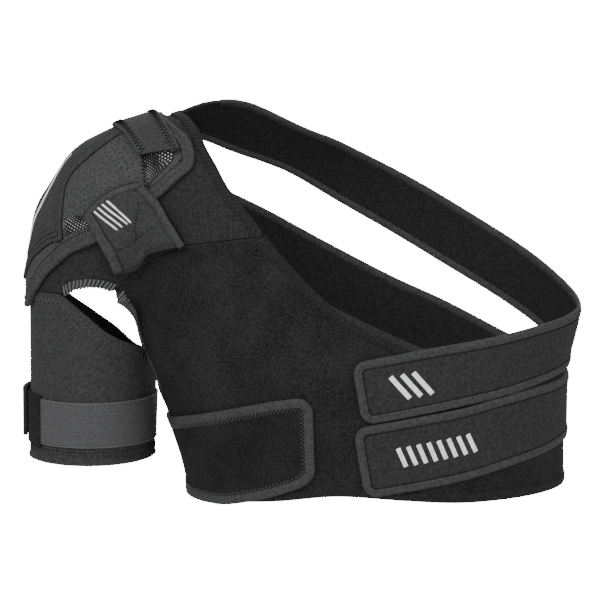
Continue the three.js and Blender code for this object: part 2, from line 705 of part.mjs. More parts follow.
const chestColumns = ['leftDown', 'leftTurn', 'leftFrom', 'rightDown', 'rightTurn'];
const chestEdges = Object.fromEntries(chestColumns.map((name) => [name, profile(CHEST_PANEL, name)]));
const hemLine = column(HEM, 'turn', 'down');
const onChestPanel = (u, v) => {
  const turn = chestEdges.leftTurn(v) + (chestEdges.rightTurn(v) - chestEdges.leftTurn(v)) * u;
  const down = chestEdges.leftDown(v) + (chestEdges.rightDown(v) - chestEdges.leftDown(v)) * u;
  const straight = chestEdges.leftDown(0) + (chestEdges.rightDown(0) - chestEdges.leftDown(0)) * u;
  const from = 1 - (1 - chestEdges.leftFrom(v)) * (1 - u) ** ARMHOLE_FADE;
  return onChest(turn, down + (hemLine(turn) - straight) * (1 - v) ** HEM_FADE, from);
};

const sleeveTop = column(SLEEVE_TOP, 'around', 'down');
const onSleeve = (u, v) => {
  const around = 180 - 360 * u;
  const top = sleeveTop(around) + SEAM_GAP / BRACE_DROP;
  return onArm(around, top + (SLEEVE_HEM.down - top) * v);
};

function onArmBand(span, raise, height) {
  const top = (ARM_STRAP_DROP - raise) / BRACE_DROP;
  return (u, v) => onArm(span.from + (span.to - span.from) * u, top + (height / BRACE_DROP) * v);
}

const padHalf = column(CENTRE_PAD, 'out', 'half');
const onCentrePad = (u, v) => {
  const first = CENTRE_PAD[0].out;
  const out = first + (CENTRE_PAD.at(-1).out - first) * (1 - Math.cos(v * Math.PI * 0.5));
  return onCrownMap(out, padHalf(out) * (1 - 2 * u));
};

const capSpokes = spokes(CAP);
const onCapBorder = (u, v) => {
  const around = capSpokes(u);
  const outer = capReach(around) + CAP_OVERHANG;
  return onCrown(around, outer - (CAP_BORDER + CAP_OVERHANG) * v);
};

const chestBlank = cloth(onChestPanel, {
  across: 22, along: 17, lift: 0, wall: NEOPRENE, field: chestField,
});
const yokeBlank = cloth(onDisc(YOKE), {
  across: YOKE.length * 2, along: 9, lift: 0, wall: NEOPRENE, ring: true,
});
const aboveFront = blockAbove(YOKE_FRONT, 0, false);
const aboveBack = blockAbove(YOKE_BACK, 0, true);
const yokeSolid = mainBody(solidOf(yokeBlank).intersect(aboveFront.add(aboveBack)));
const belowSeam = solidOf(chestBlank).subtract(blockAbove(YOKE_FRONT, SEAM_GAP, false));
const chestSolid = mainBody(belowSeam);

const materials = {
  loopFace: { color: '#2b2c2e', roughness: 0.95 },
  neoprene: { color: '#333437', roughness: 0.85 },
  perforated: { color: '#45464a', roughness: 0.8 },
  binding: { color: '#3b3c3f', roughness: 0.8 },
  mesh: { color: '#55565a', roughness: 0.7 },
  webbing: { color: '#3a3b3d', roughness: 0.8 },
  hook: { color: '#26272a', roughness: 0.9 },
  elastic: { color: '#505154', roughness: 0.85 },
};

// The upper strap ends where the cap's edge covers it
const wideCap = CAP.map((row) => ({ ...row, reach: row.reach + CAP_CLEARANCE }));
const underCap = cloth(onDisc(wideCap), {
  across: CAP.length * 2, along: 6, lift: 0, wall: 2 * ON_CAP, ring: true,
});
const upperStrapBlank = cloth(strap(UPPER_STRAP, UPPER_STRAP_WIDTH), {
  across: 4, along: 50, lift: STRAP_LIFT, wall: STRAP,
});
const upperStrapSolid = mainBody(solidOf(upperStrapBlank).subtract(solidOf(underCap)));

const SLEEVE_FLARE_SHARPNESS = 40;
const sleeveLift = (u, v) => SLEEVE_FLARE * v ** SLEEVE_FLARE_SHARPNESS;
const keeperLift = (u, v, point) => liftOverCap(point, OVER_BINDING);
const pullTabLift = (u, v, point) => liftOverCap(point, OVER_BINDING) + PULL_TAB_BRIDGE * v;
const beltLift = (u, v) => STRAP_LIFT * v;
const onTopOfSleeve = NEOPRENE + ARM_LAY_GAP;
const onTopOfPatch = onTopOfSleeve + PATCH + ARM_LAY_GAP;
const patchHeight = ARM_STRAP_WIDTH + ARM_PATCH_RAISE * 2;

const pieces = [
  ['chest_panel', geometryOf(chestSolid), 'loopFace'],
  ['shoulder_yoke', geometryOf(yokeSolid), 'neoprene'],
  ['sleeve', cloth(onSleeve, {
    across: 36, along: 9, lift: sleeveLift, wall: NEOPRENE, ring: true, field: armField,
  }), 'perforated'],
  ['cap_shell', cloth(onDisc(CAP), {
    across: CAP.length * 2, along: 6, lift: CAP_LIFT, wall: CAP_FOAM, ring: true,
  }), 'perforated'],
  ['cap_binding', cloth(onCapBorder, {
    across: CAP.length * 2, along: 1, lift: ON_CAP, wall: BINDING, ring: true,
  }), 'binding'],
  ['cap_centre_pad', cloth(onCentrePad, {
    across: 10, along: 14, lift: ON_CAP + PAD_LAY_GAP - SEAM_GAP, wall: PAD_FOAM,
  }), 'perforated'],
  ['low_mesh_window', cloth(overlay(LOW_WINDOW), {
    across: 3, along: 5, lift: ON_CAP, wall: MESH,
  }), 'mesh'],
  ['high_mesh_window', cloth(overlay(HIGH_WINDOW), {
    across: 4, along: 6, lift: ON_CAP, wall: MESH,
  }), 'mesh'],
  ['keeper_loop', cloth(overlay(KEEPER_LOOP), {
    across: 4, along: 14, lift: keeperLift, wall: WEBBING,
  }), 'webbing'],
  ['pull_tab', cloth(overlay(PULL_TAB), {
    across: 8, along: 9, lift: pullTabLift, wall: WEBBING,
  }), 'webbing'],
  ['upper_strap', geometryOf(upperStrapSolid), 'webbing'],
  ['lower_strap', cloth(strap(LOWER_STRAP, LOWER_STRAP_WIDTH), {
    across: 4, along: 46, lift: STRAP_LIFT, wall: STRAP,
  }), 'webbing'],
  ['side_tab', cloth(band(SIDE_TAB, SIDE_TAB_REACH, SIDE_TAB_CORNER), {
    across: 6, along: 16, lift: STRAP_LIFT, wall: STRAP, field: chestField,
  }), 'hook'],
  ['waist_belt', cloth(band(BELT, 0, 0), {
    across: 4, along: 20, lift: beltLift, wall: NEOPRENE, field: chestField,
  }), 'loopFace'],
  ['arm_strap', cloth(onArmBand(ARM_STRAP_SPAN, 0, ARM_STRAP_WIDTH), {
    across: 31, along: 2, lift: onTopOfSleeve, wall: ELASTIC, field: armField,
  }), 'elastic'],
  ['arm_strap_patch', cloth(onArmBand(ARM_PATCH_SPAN, ARM_PATCH_RAISE, patchHeight), {
    across: 5, along: 2, lift: onTopOfSleeve, wall: PATCH, field: armField,
  }), 'hook'],
  ['arm_strap_tab', cloth(onArmBand(ARM_TAB_SPAN, ARM_TAB_RAISE, ARM_TAB_LENGTH), {
    across: 3, along: 2, lift: onTopOfPatch, wall: FOLDED_TAB, field: armField,
  }), 'webbing'],
];

const brace = new THREE.Group();
for (const [name, geometry, finish] of pieces) {
  const material = new THREE.MeshStandardMaterial({ ...materials[finish], metalness: 0 });
  const mesh = new THREE.Mesh(geometry, material);
  mesh.name = name;
  brace.add(mesh);
}

export default brace;
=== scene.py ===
# %% [markdown]
# # A right shoulder brace
# The brace is a worn thing: sheets of neoprene, straps and pads that take the shape of
# the shoulder and chest under them. So the lesson first builds that body as a formula,
# and then lays every sheet on it. The body itself is never made: only the cloth shows.

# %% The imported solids, as a frame to build around
import math

import bmesh
import bpy
import numpy as np
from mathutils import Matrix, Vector


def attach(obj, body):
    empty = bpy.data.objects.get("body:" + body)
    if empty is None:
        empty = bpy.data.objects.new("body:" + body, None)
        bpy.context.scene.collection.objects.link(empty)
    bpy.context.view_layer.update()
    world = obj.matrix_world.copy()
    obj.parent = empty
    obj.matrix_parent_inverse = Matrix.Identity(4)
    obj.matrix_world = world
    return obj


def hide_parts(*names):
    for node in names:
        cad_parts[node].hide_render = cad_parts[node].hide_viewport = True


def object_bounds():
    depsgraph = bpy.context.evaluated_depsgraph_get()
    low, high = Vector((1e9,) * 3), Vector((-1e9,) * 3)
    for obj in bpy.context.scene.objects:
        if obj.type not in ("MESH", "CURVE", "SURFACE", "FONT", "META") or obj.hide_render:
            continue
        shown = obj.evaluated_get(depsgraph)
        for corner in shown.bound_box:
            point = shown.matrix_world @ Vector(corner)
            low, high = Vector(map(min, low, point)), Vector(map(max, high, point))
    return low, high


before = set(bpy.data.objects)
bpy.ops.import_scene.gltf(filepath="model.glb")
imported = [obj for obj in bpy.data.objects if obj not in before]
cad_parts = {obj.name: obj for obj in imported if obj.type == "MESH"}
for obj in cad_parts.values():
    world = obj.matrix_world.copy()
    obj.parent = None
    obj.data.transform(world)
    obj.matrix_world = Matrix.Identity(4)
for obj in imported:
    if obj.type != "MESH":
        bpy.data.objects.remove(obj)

cad_box = [list(corner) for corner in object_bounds()]
MM = 0.001
print("solids:", len(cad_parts), "box", [[round(x, 3) for x in c] for c in cad_box])

# %% [markdown]
# ## The camera
# The picture is taken from the front, a little from above and from about two metres, so
# the near strap ends look only slightly larger than the straps behind them.

# %% Camera at the photograph's view
CAMERA_AWAY = 2.1
CAMERA_RISE = math.radians(8)
LOOKED_AT = Vector((0.1245, 0.0, -0.1427))

SENSOR = 36
FOCAL_PIXELS = 2530
PICTURE_PIXELS = 600

camera_data = bpy.data.cameras.new("camera")
camera_data.sensor_width = SENSOR
camera_data.lens = SENSOR * FOCAL_PIXELS / PICTURE_PIXELS
camera = bpy.data.objects.new("camera", camera_data)
bpy.context.scene.collection.objects.link(camera)
toward = Vector((0, math.cos(CAMERA_RISE), -math.sin(CAMERA_RISE)))
camera.location = LOOKED_AT - toward * CAMERA_AWAY
camera.rotation_euler = toward.to_track_quat("-Z", "Y").to_euler()
bpy.context.scene.camera = camera
print("camera at", [round(x, 3) for x in camera.location])

# %% [markdown]
# ## The body under the cloth, as a distance
# A sheet of cloth needs to know two things at each point: how far the body is, and which
# way is out. One formula gives both. The arm and shoulder are balls swept along a bent
# line, the chest is a rounded box that closes at its top, and the two are blended where
# the armpit is. Lengths in the tables are millimetres.

# %% Lengths along a line, and smooth lines through short tables
def lengths_along(points):
    return np.concatenate([[0], np.cumsum(np.linalg.norm(np.diff(points, axis=0), axis=1))])


def at_lengths(at, lengths, values):
    """Points, or directions, of a line at the given lengths along it."""
    return np.stack([np.interp(at, lengths, values[:, i]) for i in range(3)], -1)


def smooth_line(at, value):
    """A curve through a table that never overshoots its rows."""
    at, value = np.array(at, float), np.array(value, float)
    if at[0] > at[-1]:
        at, value = at[::-1], value[::-1]
    rise = np.diff(value) / np.diff(at)
    slope = np.zeros(len(at))
    for i in range(1, len(at) - 1):
        if rise[i - 1] * rise[i] > 0:
            slope[i] = 2 * rise[i - 1] * rise[i] / (rise[i - 1] + rise[i])

    def line(x):
        i = np.clip(np.searchsorted(at, x) - 1, 0, len(at) - 2)
        span = at[i + 1] - at[i]
        t = np.clip((x - at[i]) / span, 0, 1)
        keep = 2 * t**3 - 3 * t**2 + 1
        leave, arrive = (t**3 - 2 * t**2 + t) * span, (t**3 - t**2) * span
        return keep * value[i] + leave * slope[i] + (1 - keep) * value[i + 1] + arrive * slope[i + 1]

    return line


def round_line(rows):
    """The same for an outline round the crown of the shoulder."""
    around = [a + turn for turn in (-360, 0, 360) for a, _ in rows]
    reach = [r for _ in range(3) for _, r in rows]
    return smooth_line(around, reach)


# %% The balls of the arm and the levels of the chest
DROP = 300  # heights down the body are shares of this
ARM_DEPTH = 1.1
ARMPIT = 26.0
CHEST_ROUND = 2.3
CHEST_TOP, TOP_RISE, TOP_ROUND = -146.1, 150, 3.2
ARM_LEFT_OUT = -135
# across, height, radius of each ball from the elbow to the neck
BALLS = np.array([
    (-51.1, -375.6, 46.5), (-45.9, -129.1, 50.5), (-34.9, -87.9, 54.0),
    (-20.0, -63.1, 53.2), (0.0, -54.0, 54.0), (94.9, -27.9, 57.0),
])
CHEST_LEVELS = [-375, -296.1, -237.9, -182.1, -146.1, 90]
chest_middle = smooth_line(CHEST_LEVELS, [188, 188, 180.4, 171, 171.5, 171.5])
chest_width = smooth_line(CHEST_LEVELS, [149.9, 153, 160.6, 173, 179.5, 179.5])
chest_depth = smooth_line(CHEST_LEVELS, [100, 104, 110, 113, 113, 113])


def swept_gap(p, balls):
    q = p / (1, ARM_DEPTH, 1)
    nearest = np.full(p.shape[:-1], np.inf)
    for (x0, z0, r0), (x1, z1, r1) in zip(balls[:-1], balls[1:]):
        start, axis = np.array([x0, 0, z0]), np.array([x1 - x0, 0, z1 - z0])
        t = np.clip(((q - start) @ axis) / (axis @ axis), 0, 1)
        away = np.linalg.norm(q - start - t[..., None] * axis, axis=-1)
        nearest = np.minimum(nearest, away - (r0 + (r1 - r0) * t))
    return nearest


def chest_gap(p):
    z = p[..., 2]
    dx, dy, over = p[..., 0] - chest_middle(z), p[..., 1], np.maximum(z - CHEST_TOP, 0)
    level = (np.abs(dx) / chest_width(z)) ** CHEST_ROUND + (np.abs(dy) / chest_depth(z)) ** CHEST_ROUND
    level = np.maximum(level + (over / TOP_RISE) ** TOP_ROUND, 1e-6)
    return np.sqrt(dx**2 + dy**2 + over**2) * (1 - level ** (-1 / CHEST_ROUND))


def blended(chest, girdle):
    near = np.maximum(ARMPIT - np.abs(chest - girdle), 0) / ARMPIT
    return np.minimum(chest, girdle) - near * near * ARMPIT / 4


def arm_gap(p):
    return swept_gap(p, BALLS[:3])


def body_gap(p):
    return blended(chest_gap(p), swept_gap(p, BALLS))


def panel_gap(p):
    """The body as the chest panel follows it: below the armpit the arm is left out."""
    below = np.maximum(ARM_LEFT_OUT - p[..., 2], 0)
    return blended(chest_gap(p), swept_gap(p, BALLS) + below)


print("top of the shoulder:", round(float(body_gap(np.array([0.0, 0, 0]))), 3), "mm")

# %% Outwards from the body, and down on to it
def slope(p, gap):
    steps = np.eye(3) * 0.5
    return np.stack([gap(p + s) - gap(p - s) for s in steps], axis=-1)


def outward(p, gap):
    s = slope(p, gap)
    return s / np.maximum(np.linalg.norm(s, axis=-1, keepdims=True), 1e-9)


def settle(p, gap):
    for _ in range(6):
        s = slope(p, gap)
        p = p - s * (gap(p) / np.maximum((s**2).sum(-1), 1e-6))[..., None]
    return p


def cast_in(origin, direction, gap):
    """The outermost point of the body along rays that start inside it."""
    inside = np.full(direction.shape[:-1], 420.0)
    outside = inside.copy()
    for _ in range(80):
        space = gap(origin + direction * inside[..., None])
        if (space <= 0).all():
            break
        outside = np.where(space > 0, inside, outside)
        step = np.where(space > 0, np.maximum(space * 0.6, 0.05), 0)
        inside = np.maximum(inside - step, 0)
    for _ in range(16):
        middle = (inside + outside) / 2
        free = gap(origin + direction * middle[..., None]) > 0
        outside, inside = np.where(free, middle, outside), np.where(free, inside, middle)
    return origin + direction * ((inside + outside) / 2)[..., None]


# %% [markdown]
# ## Three ways to name a place on the body
# The chest is named by a turn round it and a height. The shoulder is named like a map
# round its crown: how far out to the arm and how far to the front, in degrees. The arm
# is named by a turn round it and a height. Each way gives a point on the skin.

# %% Chest, crown and arm
CROWN = np.array([-29.9, 0, -71.0])
CROWN_UP = np.array([-0.5, 0, math.sqrt(0.75)])
CROWN_OUT = np.array([-math.sqrt(0.75), 0, -0.5])
CROWN_FORE = np.array([0, -1.0, 0])


CHEST_AXIS = 172.0


def on_chest(turn, down, across=CHEST_AXIS):
    a = np.radians(turn)
    origin = np.stack([across + 0 * a, 0 * a, -down * DROP], -1)
    return cast_in(origin, np.stack([np.sin(a), -np.cos(a), 0 * a], -1), panel_gap)


def on_crown(around, reach):
    a, r = np.radians(around)[..., None], np.radians(reach)[..., None]
    flat = CROWN_OUT * np.cos(a) + CROWN_FORE * np.sin(a)
    return cast_in(CROWN, CROWN_UP * np.cos(r) + flat * np.sin(r), body_gap)


def on_crown_map(out, fore):
    return on_crown(np.degrees(np.arctan2(fore, out)), np.hypot(out, fore))


def on_arm(around, down):
    a, z = np.radians(around), -down * DROP
    (low_x, low_z, _), (high_x, high_z, _) = BALLS[:2]
    x = low_x + (high_x - low_x) * np.minimum((z - low_z) / (high_z - low_z), 1)
    ray = np.stack([-np.cos(a), -np.sin(a) * ARM_DEPTH, 0 * a], -1)
    ray /= np.linalg.norm(ray, axis=-1, keepdims=True)
    return cast_in(np.stack([x, 0 * a, z], -1), ray, arm_gap)


print("front of the chest:", on_chest(np.array([0.0]), np.array([0.6])).round(1))

# %% [markdown]
# ## Materials
# Black sports cloth is never one black. The brushed loop face is speckled, the knit has
# a fine grain, the elastic has ribs along it with painted glints, and the mesh shows
# painted highlights on its threads over a dark ground. Each finish is a small node tree:
# a pattern picks the colour and lifts a bump.

# %% Helpers for a finish
def finish(name, rough):
    made = bpy.data.materials.new(name)
    made.use_nodes = True
    shader = made.node_tree.nodes["Principled BSDF"]
    shader.inputs["Roughness"].default_value = rough
    shader.inputs["Specular IOR Level"].default_value = 0.06
    return made, made.node_tree, shader


def grey(value):
    """The linear colour of a cloth that shows as the given 0 to 255 grey in this light."""
    v = (value / 255) ** 2.2 * (0.55 + 0.4 * min(max(value - 120, 0) / 100, 1))
    return (v, v * 1.005, v * 1.03, 1)


def cloth_place(tree, size=(1, 1, 1)):
    place = tree.nodes.new("ShaderNodeTexCoord")
    spread = tree.nodes.new("ShaderNodeMapping")
    spread.inputs["Scale"].default_value = size
    tree.links.new(place.outputs["UV"], spread.inputs["Vector"])
    return spread.outputs["Vector"]


def object_place(tree):
    return tree.nodes.new("ShaderNodeTexCoord").outputs["Object"]


def maths(tree, how, a, b=None):
    node = tree.nodes.new("ShaderNodeMath")
    node.operation = how
    for socket, given in zip(node.inputs, (a, b)):
        if given is None:
            continue
        if isinstance(given, (int, float)):
            socket.default_value = given
        else:
            tree.links.new(given, socket)
    return node.outputs[0]


def add(tree, a, b):
    return maths(tree, "ADD", a, b)


def times(tree, a, b):
    return maths(tree, "MULTIPLY", a, b)


def grain(tree, place, scale, detail=2.0, rough=0.5):
    noise = tree.nodes.new("ShaderNodeTexNoise")
    noise.inputs["Scale"].default_value = scale
    noise.inputs["Detail"].default_value = detail
    noise.inputs["Roughness"].default_value = rough
    tree.links.new(place, noise.inputs["Vector"])
    return noise.outputs["Fac"]


def between(tree, factor, stops):
    ramp = tree.nodes.new("ShaderNodeValToRGB")
    ramp.color_ramp.elements[0].position, ramp.color_ramp.elements[0].color = stops[0]
    ramp.color_ramp.elements[1].position, ramp.color_ramp.elements[1].color = stops[-1]
    for position, colour in stops[1:-1]:
        ramp.color_ramp.elements.new(position).color = colour
    tree.links.new(factor, ramp.inputs["Fac"])
    return ramp.outputs["Color"]


def mixed(tree, factor, first, second):
    mix = tree.nodes.new("ShaderNodeMix")
    mix.data_type = "RGBA"
    tree.links.new(factor, mix.inputs["Factor"])
    for socket, given in ((mix.inputs["A"], first), (mix.inputs["B"], second)):
        if isinstance(given, tuple):
            socket.default_value = given
        else:
            tree.links.new(given, socket)
    return mix.outputs["Result"]


def relief(tree, shader, height, depth, strength=1.0):
    bump = tree.nodes.new("ShaderNodeBump")
    bump.inputs["Distance"].default_value = depth
    bump.inputs["Strength"].default_value = strength
    tree.links.new(height, bump.inputs["Height"])
    tree.links.new(bump.outputs["Normal"], shader.inputs["Normal"])


def coloured(tree, shader, colour, height, depth, strength):
    tree.links.new(colour, shader.inputs["Base Color"])
    relief(tree, shader, height, depth, strength)


def split_uv(tree, place):
    parts = tree.nodes.new("ShaderNodeSeparateXYZ")
    tree.links.new(place, parts.inputs["Vector"])
    return parts.outputs["X"], parts.outputs["Y"]


# %% Brushed loop face and plain knit
def brushed_face(name, dark, light, speck):
    """Loop pile: soft speckles about a millimetre across, with a little fuzz."""
    made, tree, shader = finish(name, 0.95)
    place = object_place(tree)
    fine, broad = grain(tree, place, speck, 3.0, 0.7), grain(tree, place, 26)
    tone = add(tree, times(tree, fine, 0.8), times(tree, broad, 0.2))
    colour = between(tree, tone, [(0.36, grey(dark)), (0.64, grey(light))])
    coloured(tree, shader, colour, fine, 0.0007, 0.8)
    return made


def knit_face(name, dark, light, pitch=1.1):
    """Smooth jersey over foam: rows of small stitches and a faint grain."""
    made, tree, shader = finish(name, 0.85)
    u, v = split_uv(tree, cloth_place(tree))
    rows = maths(tree, "SINE", times(tree, v, 2 * math.pi / pitch))
    ribs = maths(tree, "SINE", times(tree, u, 2 * math.pi / (pitch * 0.8)))
    weave = times(tree, rows, ribs)
    cloud = grain(tree, object_place(tree), 420, 3.0, 0.65)
    tone = add(tree, cloud, times(tree, weave, 0.06))
    colour = between(tree, tone, [(0.34, grey(dark)), (0.68, grey(light))])
    coloured(tree, shader, colour, tone, 0.0004, 0.7)
    return made


loop_face = brushed_face("loop_face", 26, 66, 820)
hook_face = brushed_face("hook_face", 26, 62, 950)
inner_face = knit_face("inner_face", 40, 58)
edge_face = knit_face("edge_face", 42, 58, 0.9)
yoke_face = knit_face("yoke_face", 46, 66)
binding_face = knit_face("binding_face", 66, 88, 0.9)
strap_face = knit_face("strap_face", 52, 72)
print("plain cloths:", loop_face.name, hook_face.name, inner_face.name, yoke_face.name)

# %% Perforated knit, elastic, mesh and thread
def dots(tree, place, pitch, radius):
    """Round holes in staggered rows: 1 inside a hole and 0 outside, with soft rims."""
    u, v = split_uv(tree, place)
    row = maths(tree, "DIVIDE", v, pitch)
    odd = maths(tree, "MODULO", maths(tree, "FLOOR", row), 2.0)
    column = maths(tree, "DIVIDE", add(tree, u, times(tree, odd, 0.5 * pitch)), pitch)
    du, dv = (maths(tree, "SUBTRACT", maths(tree, "FRACT", at), 0.5) for at in (column, row))
    inside = tree.nodes.new("ShaderNodeMapRange")
    inside.inputs["From Min"].default_value = radius / pitch * 1.25
    inside.inputs["From Max"].default_value = radius / pitch * 0.75
    away = maths(tree, "SQRT", add(tree, times(tree, du, du), times(tree, dv, dv)))
    tree.links.new(away, inside.inputs["Value"])
    return inside.outputs["Result"]


def perforated_face(name, dark, light, hole, pitch=3.4, radius=0.45):
    made, tree, shader = finish(name, 0.8)
    cloud = grain(tree, object_place(tree), 380, 3.0, 0.65)
    holes = dots(tree, cloth_place(tree), pitch, radius)
    colour = between(tree, cloud, [(0.34, grey(dark)), (0.68, grey(light))])
    tree.links.new(mixed(tree, holes, colour, grey(hole)), shader.inputs["Base Color"])
    height = maths(tree, "SUBTRACT", times(tree, cloud, 0.3), holes)
    relief(tree, shader, height, 0.0005, 0.8)
    return made


def ribbed_elastic(name, dark, light, pitch=1.5):
    """Woven elastic: fine ribs that run along the band, with painted glints of its rubber threads."""
    made, tree, shader = finish(name, 0.7)
    u, v = split_uv(tree, cloth_place(tree))
    wobble = grain(tree, cloth_place(tree, (0.05, 0.6, 1)), 1.0, 3.0)
    phase = add(tree, times(tree, v, 2 * math.pi / pitch), times(tree, wobble, 5.0))
    ribs = maths(tree, "MULTIPLY_ADD", maths(tree, "SINE", phase), 0.5)
    # Painted glints: a stretched noise lightens streaks of the base colour where the rubber threads catch
    # the light, and it lifts the bump too.
    painted_glint = grain(tree, cloth_place(tree, (0.35, 2.2, 1)), 1.0, 2.0, 0.7)
    tone = add(tree, times(tree, ribs, 0.25), painted_glint)
    colour = between(tree, tone, [(0.35, grey(dark)), (0.72, grey(light))])
    coloured(tree, shader, colour, tone, 0.0005, 0.9)
    return made


def open_mesh(name, ground, highlight_grey, pitch=1.9):
    made, tree, shader = finish(name, 0.6)
    place = cloth_place(tree)
    place.node.inputs["Rotation"].default_value = (0, 0, math.radians(28))
    knots = dots(tree, place, pitch, 0.48)
    # The light dots are painted highlights on the mesh's threads. They take the grey given for them, and
    # a broad noise paints brighter and darker patches of them, down to 0.45 of that grey.
    highlight_patches = grain(tree, object_place(tree), 60, 2.0)
    painted_highlight_tone = between(tree, highlight_patches, [(0.42, grey(highlight_grey * 0.45)), (0.62, grey(highlight_grey))])
    tree.links.new(mixed(tree, knots, grey(ground), painted_highlight_tone), shader.inputs["Base Color"])
    relief(tree, shader, knots, 0.0005, 1.0)
    return made


def plain_face(name, value, rough, grainy=260):
    made, tree, shader = finish(name, rough)
    tone = grain(tree, object_place(tree), grainy, 2.0)
    colour = between(tree, tone, [(0.3, grey(value * 0.9)), (0.7, grey(value * 1.06))])
    coloured(tree, shader, colour, tone, 0.0001, 0.5)
    return made


sleeve_face = perforated_face("sleeve_face", 60, 80, 46, 3.2, 0.32)
cap_face = perforated_face("cap_face", 70, 90, 50, 3.2, 0.34)
pad_face = knit_face("pad_face", 62, 80, 1.3)
elastic_face = ribbed_elastic("elastic_face", 66, 104)
# 190 is the grey of the painted highlights on the mesh's threads.
mesh_face = open_mesh("mesh_face", 34, 190)
thread_face = plain_face("thread_face", 84, 0.6, 900)
bright_thread = plain_face("bright_thread", 118, 0.6, 900)
# This dark thread colour also draws the painted shadow along the pull tab's top edge.
dark_thread = plain_face("dark_thread", 26, 0.7, 900)
print_face = plain_face("print_face", 236, 0.55)
print("finishes:", len(bpy.data.materials))

# %% [markdown]
# ## Laying a sheet of cloth on the body
# A sheet starts as a flat grid, as cloth starts flat on a table. Each of its vertices has
# a share across and a share along, and the piece's own rule says where on the body that
# share lies. The sheet is then lifted off the body by what lies under it, and Solidify
# gives it its thickness. Its UV map is in millimetres of cloth, so a weave keeps its size.

# %% From a flat grid to a worn sheet
def new_object(name, mesh, faces):
    data = bpy.data.meshes.new(name)
    mesh.to_mesh(data)
    mesh.free()
    for f in faces:
        data.materials.append(f)
    data.polygons.foreach_set("use_smooth", [True] * len(data.polygons))
    made = bpy.data.objects.new(name, data)
    bpy.context.scene.collection.objects.link(made)
    return made


def flat_grid(across, along):
    """A grid whose corners run from (0, 0) to (1, 1), with a UV map to fill in."""
    mesh = bmesh.new()
    mesh.loops.layers.uv.new("cloth")
    bmesh.ops.create_grid(mesh, x_segments=across, y_segments=along, size=0.5, calc_uvs=False)
    bmesh.ops.translate(mesh, verts=mesh.verts, vec=(0.5, 0.5, 0))
    mesh.verts.ensure_lookup_table()
    shares = np.array([v.co[:2] for v in mesh.verts])
    return mesh, shares


def write_uv(mesh, shares, size):
    layer = mesh.loops.layers.uv["cloth"]
    for f in mesh.faces:
        for loop in f.loops:
            u, v = shares[loop.vert.index]
            loop[layer].uv = (u * size[0], v * size[1])


def move_to(mesh, points):
    for v, p in zip(mesh.verts, points * MM):
        v.co = p


def worn(on, shares, gap, lift):
    """Where a sheet's shares lie, and which way is out there."""
    skin = on(shares[:, 0], shares[:, 1])
    out = outward(skin, gap)
    under = lift(shares[:, 0], shares[:, 1], skin) if callable(lift) else lift
    return skin + out * np.asarray(under).reshape(-1, 1), out


def cut_size(on):
    """How wide and long the sheet's middle lines are on the body, in millimetres."""
    t = np.linspace(0, 1, 80)
    half = np.full(80, 0.5)
    across, along = on(t, half), on(half, t)
    return [float(lengths_along(p)[-1]) for p in (across, along)]


def face_out(mesh, out):
    """Turns every face of a sheet the way that the body's outside lies."""
    mesh.normal_update()
    votes = sum(1 if f.normal.dot(Vector(out[f.verts[0].index])) > 0 else -1 for f in mesh.faces)
    if votes < 0:
        bmesh.ops.reverse_faces(mesh, faces=mesh.faces)


sheets = {}


def lay_sheet(name, face, on, cells, lift, wall, gap=body_gap, edge=0.5):
    mesh, shares = flat_grid(*cells)
    size = cut_size(on)
    place, out = worn(on, shares, gap, lift)
    write_uv(mesh, shares, size)
    move_to(mesh, place)
    face_out(mesh, out)
    area = sum(f.calc_area() for f in mesh.faces)
    bmesh.ops.remove_doubles(mesh, verts=mesh.verts, dist=0.00002)
    made = new_object(name, mesh, [face, inner_face])
    thick = made.modifiers.new("wall", "SOLIDIFY")
    thick.thickness = wall * MM
    thick.offset = 1
    thick.use_even_offset = False
    thick.material_offset = 1
    thick.material_offset_rim = 0
    if edge:
        soft = made.modifiers.new("soft_edge", "BEVEL")
        soft.width = edge * MM
        soft.segments = 2
        soft.limit_method = "ANGLE"
        soft.angle_limit = math.radians(50)
    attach(made, "root")
    sheets[name] = {"area": area, "size": size}
    print(name, "cut", [round(s) for s in size], "mm,", len(made.data.polygons), "faces")
    return made


# %% [markdown]
# ## The chest panel
# The panel runs from the armhole across the front to the left flank. Its right edge, seen
# in the picture, is one long curve from the neck to the flank, and its left edge hangs
# beside the arm. A table gives both edges by height, and the seam to the yoke cuts its top.

# %% Edges of the chest panel
PANEL_ROWS = [  # left down, left turn, left seen from, right down, right turn
    (1.003, -84, 172, 0.975, 104), (0.88, -84, 172, 0.91, 101), (0.79, -84, 172, 0.81, 96),
    (0.72, -83, 172, 0.688, 52), (0.66, -64, 80, 0.616, 32.9), (0.6, -42.5, 20, 0.551, 16.6),
    (0.54, -55, 20, 0.477, -5.2), (0.493, -47.5, 20, 0.411, -16.9), (0.44, -41, 20, 0.319, -29.4),
    (0.33, -44, 20, 0.188, -44.9),
]
SEAM = [  # across the chest, down: from the sleeve over the armhole to the neck
    (-206, 0.433), (-63.6, 0.433), (-57.6, 0.418), (-46.4, 0.41), (-36.1, 0.412),
    (-29.6, 0.42), (-25.8, 0.424), (-12.7, 0.377), (3.8, 0.345), (33.9, 0.293),
    (61.4, 0.277), (137.6, 0.24),
]
panel_at = np.linspace(0, 1, len(PANEL_ROWS))
left_down, left_turn, left_from, right_down, right_turn = (
    smooth_line(panel_at, [row[i] for row in PANEL_ROWS]) for i in range(5)
)
hem_line = smooth_line([-84, -39, -8, 20, 43, 70, 104], [1.003, 0.974, 0.95, 0.962, 0.972, 0.97, 0.975])


def seam_down(x):
    at, down = zip(*SEAM)
    return np.interp(x, at, down)


def on_panel_blank(u, v):
    turn = left_turn(v) + (right_turn(v) - left_turn(v)) * u
    down = left_down(v) + (right_down(v) - left_down(v)) * u
    straight = left_down(0.0) + (right_down(0.0) - left_down(0.0)) * u
    seen_from = CHEST_AXIS - (CHEST_AXIS - left_from(v)) * (1 - u) ** 3
    return on_chest(turn, down + (hem_line(turn) - straight) * (1 - v) ** 3, seen_from)


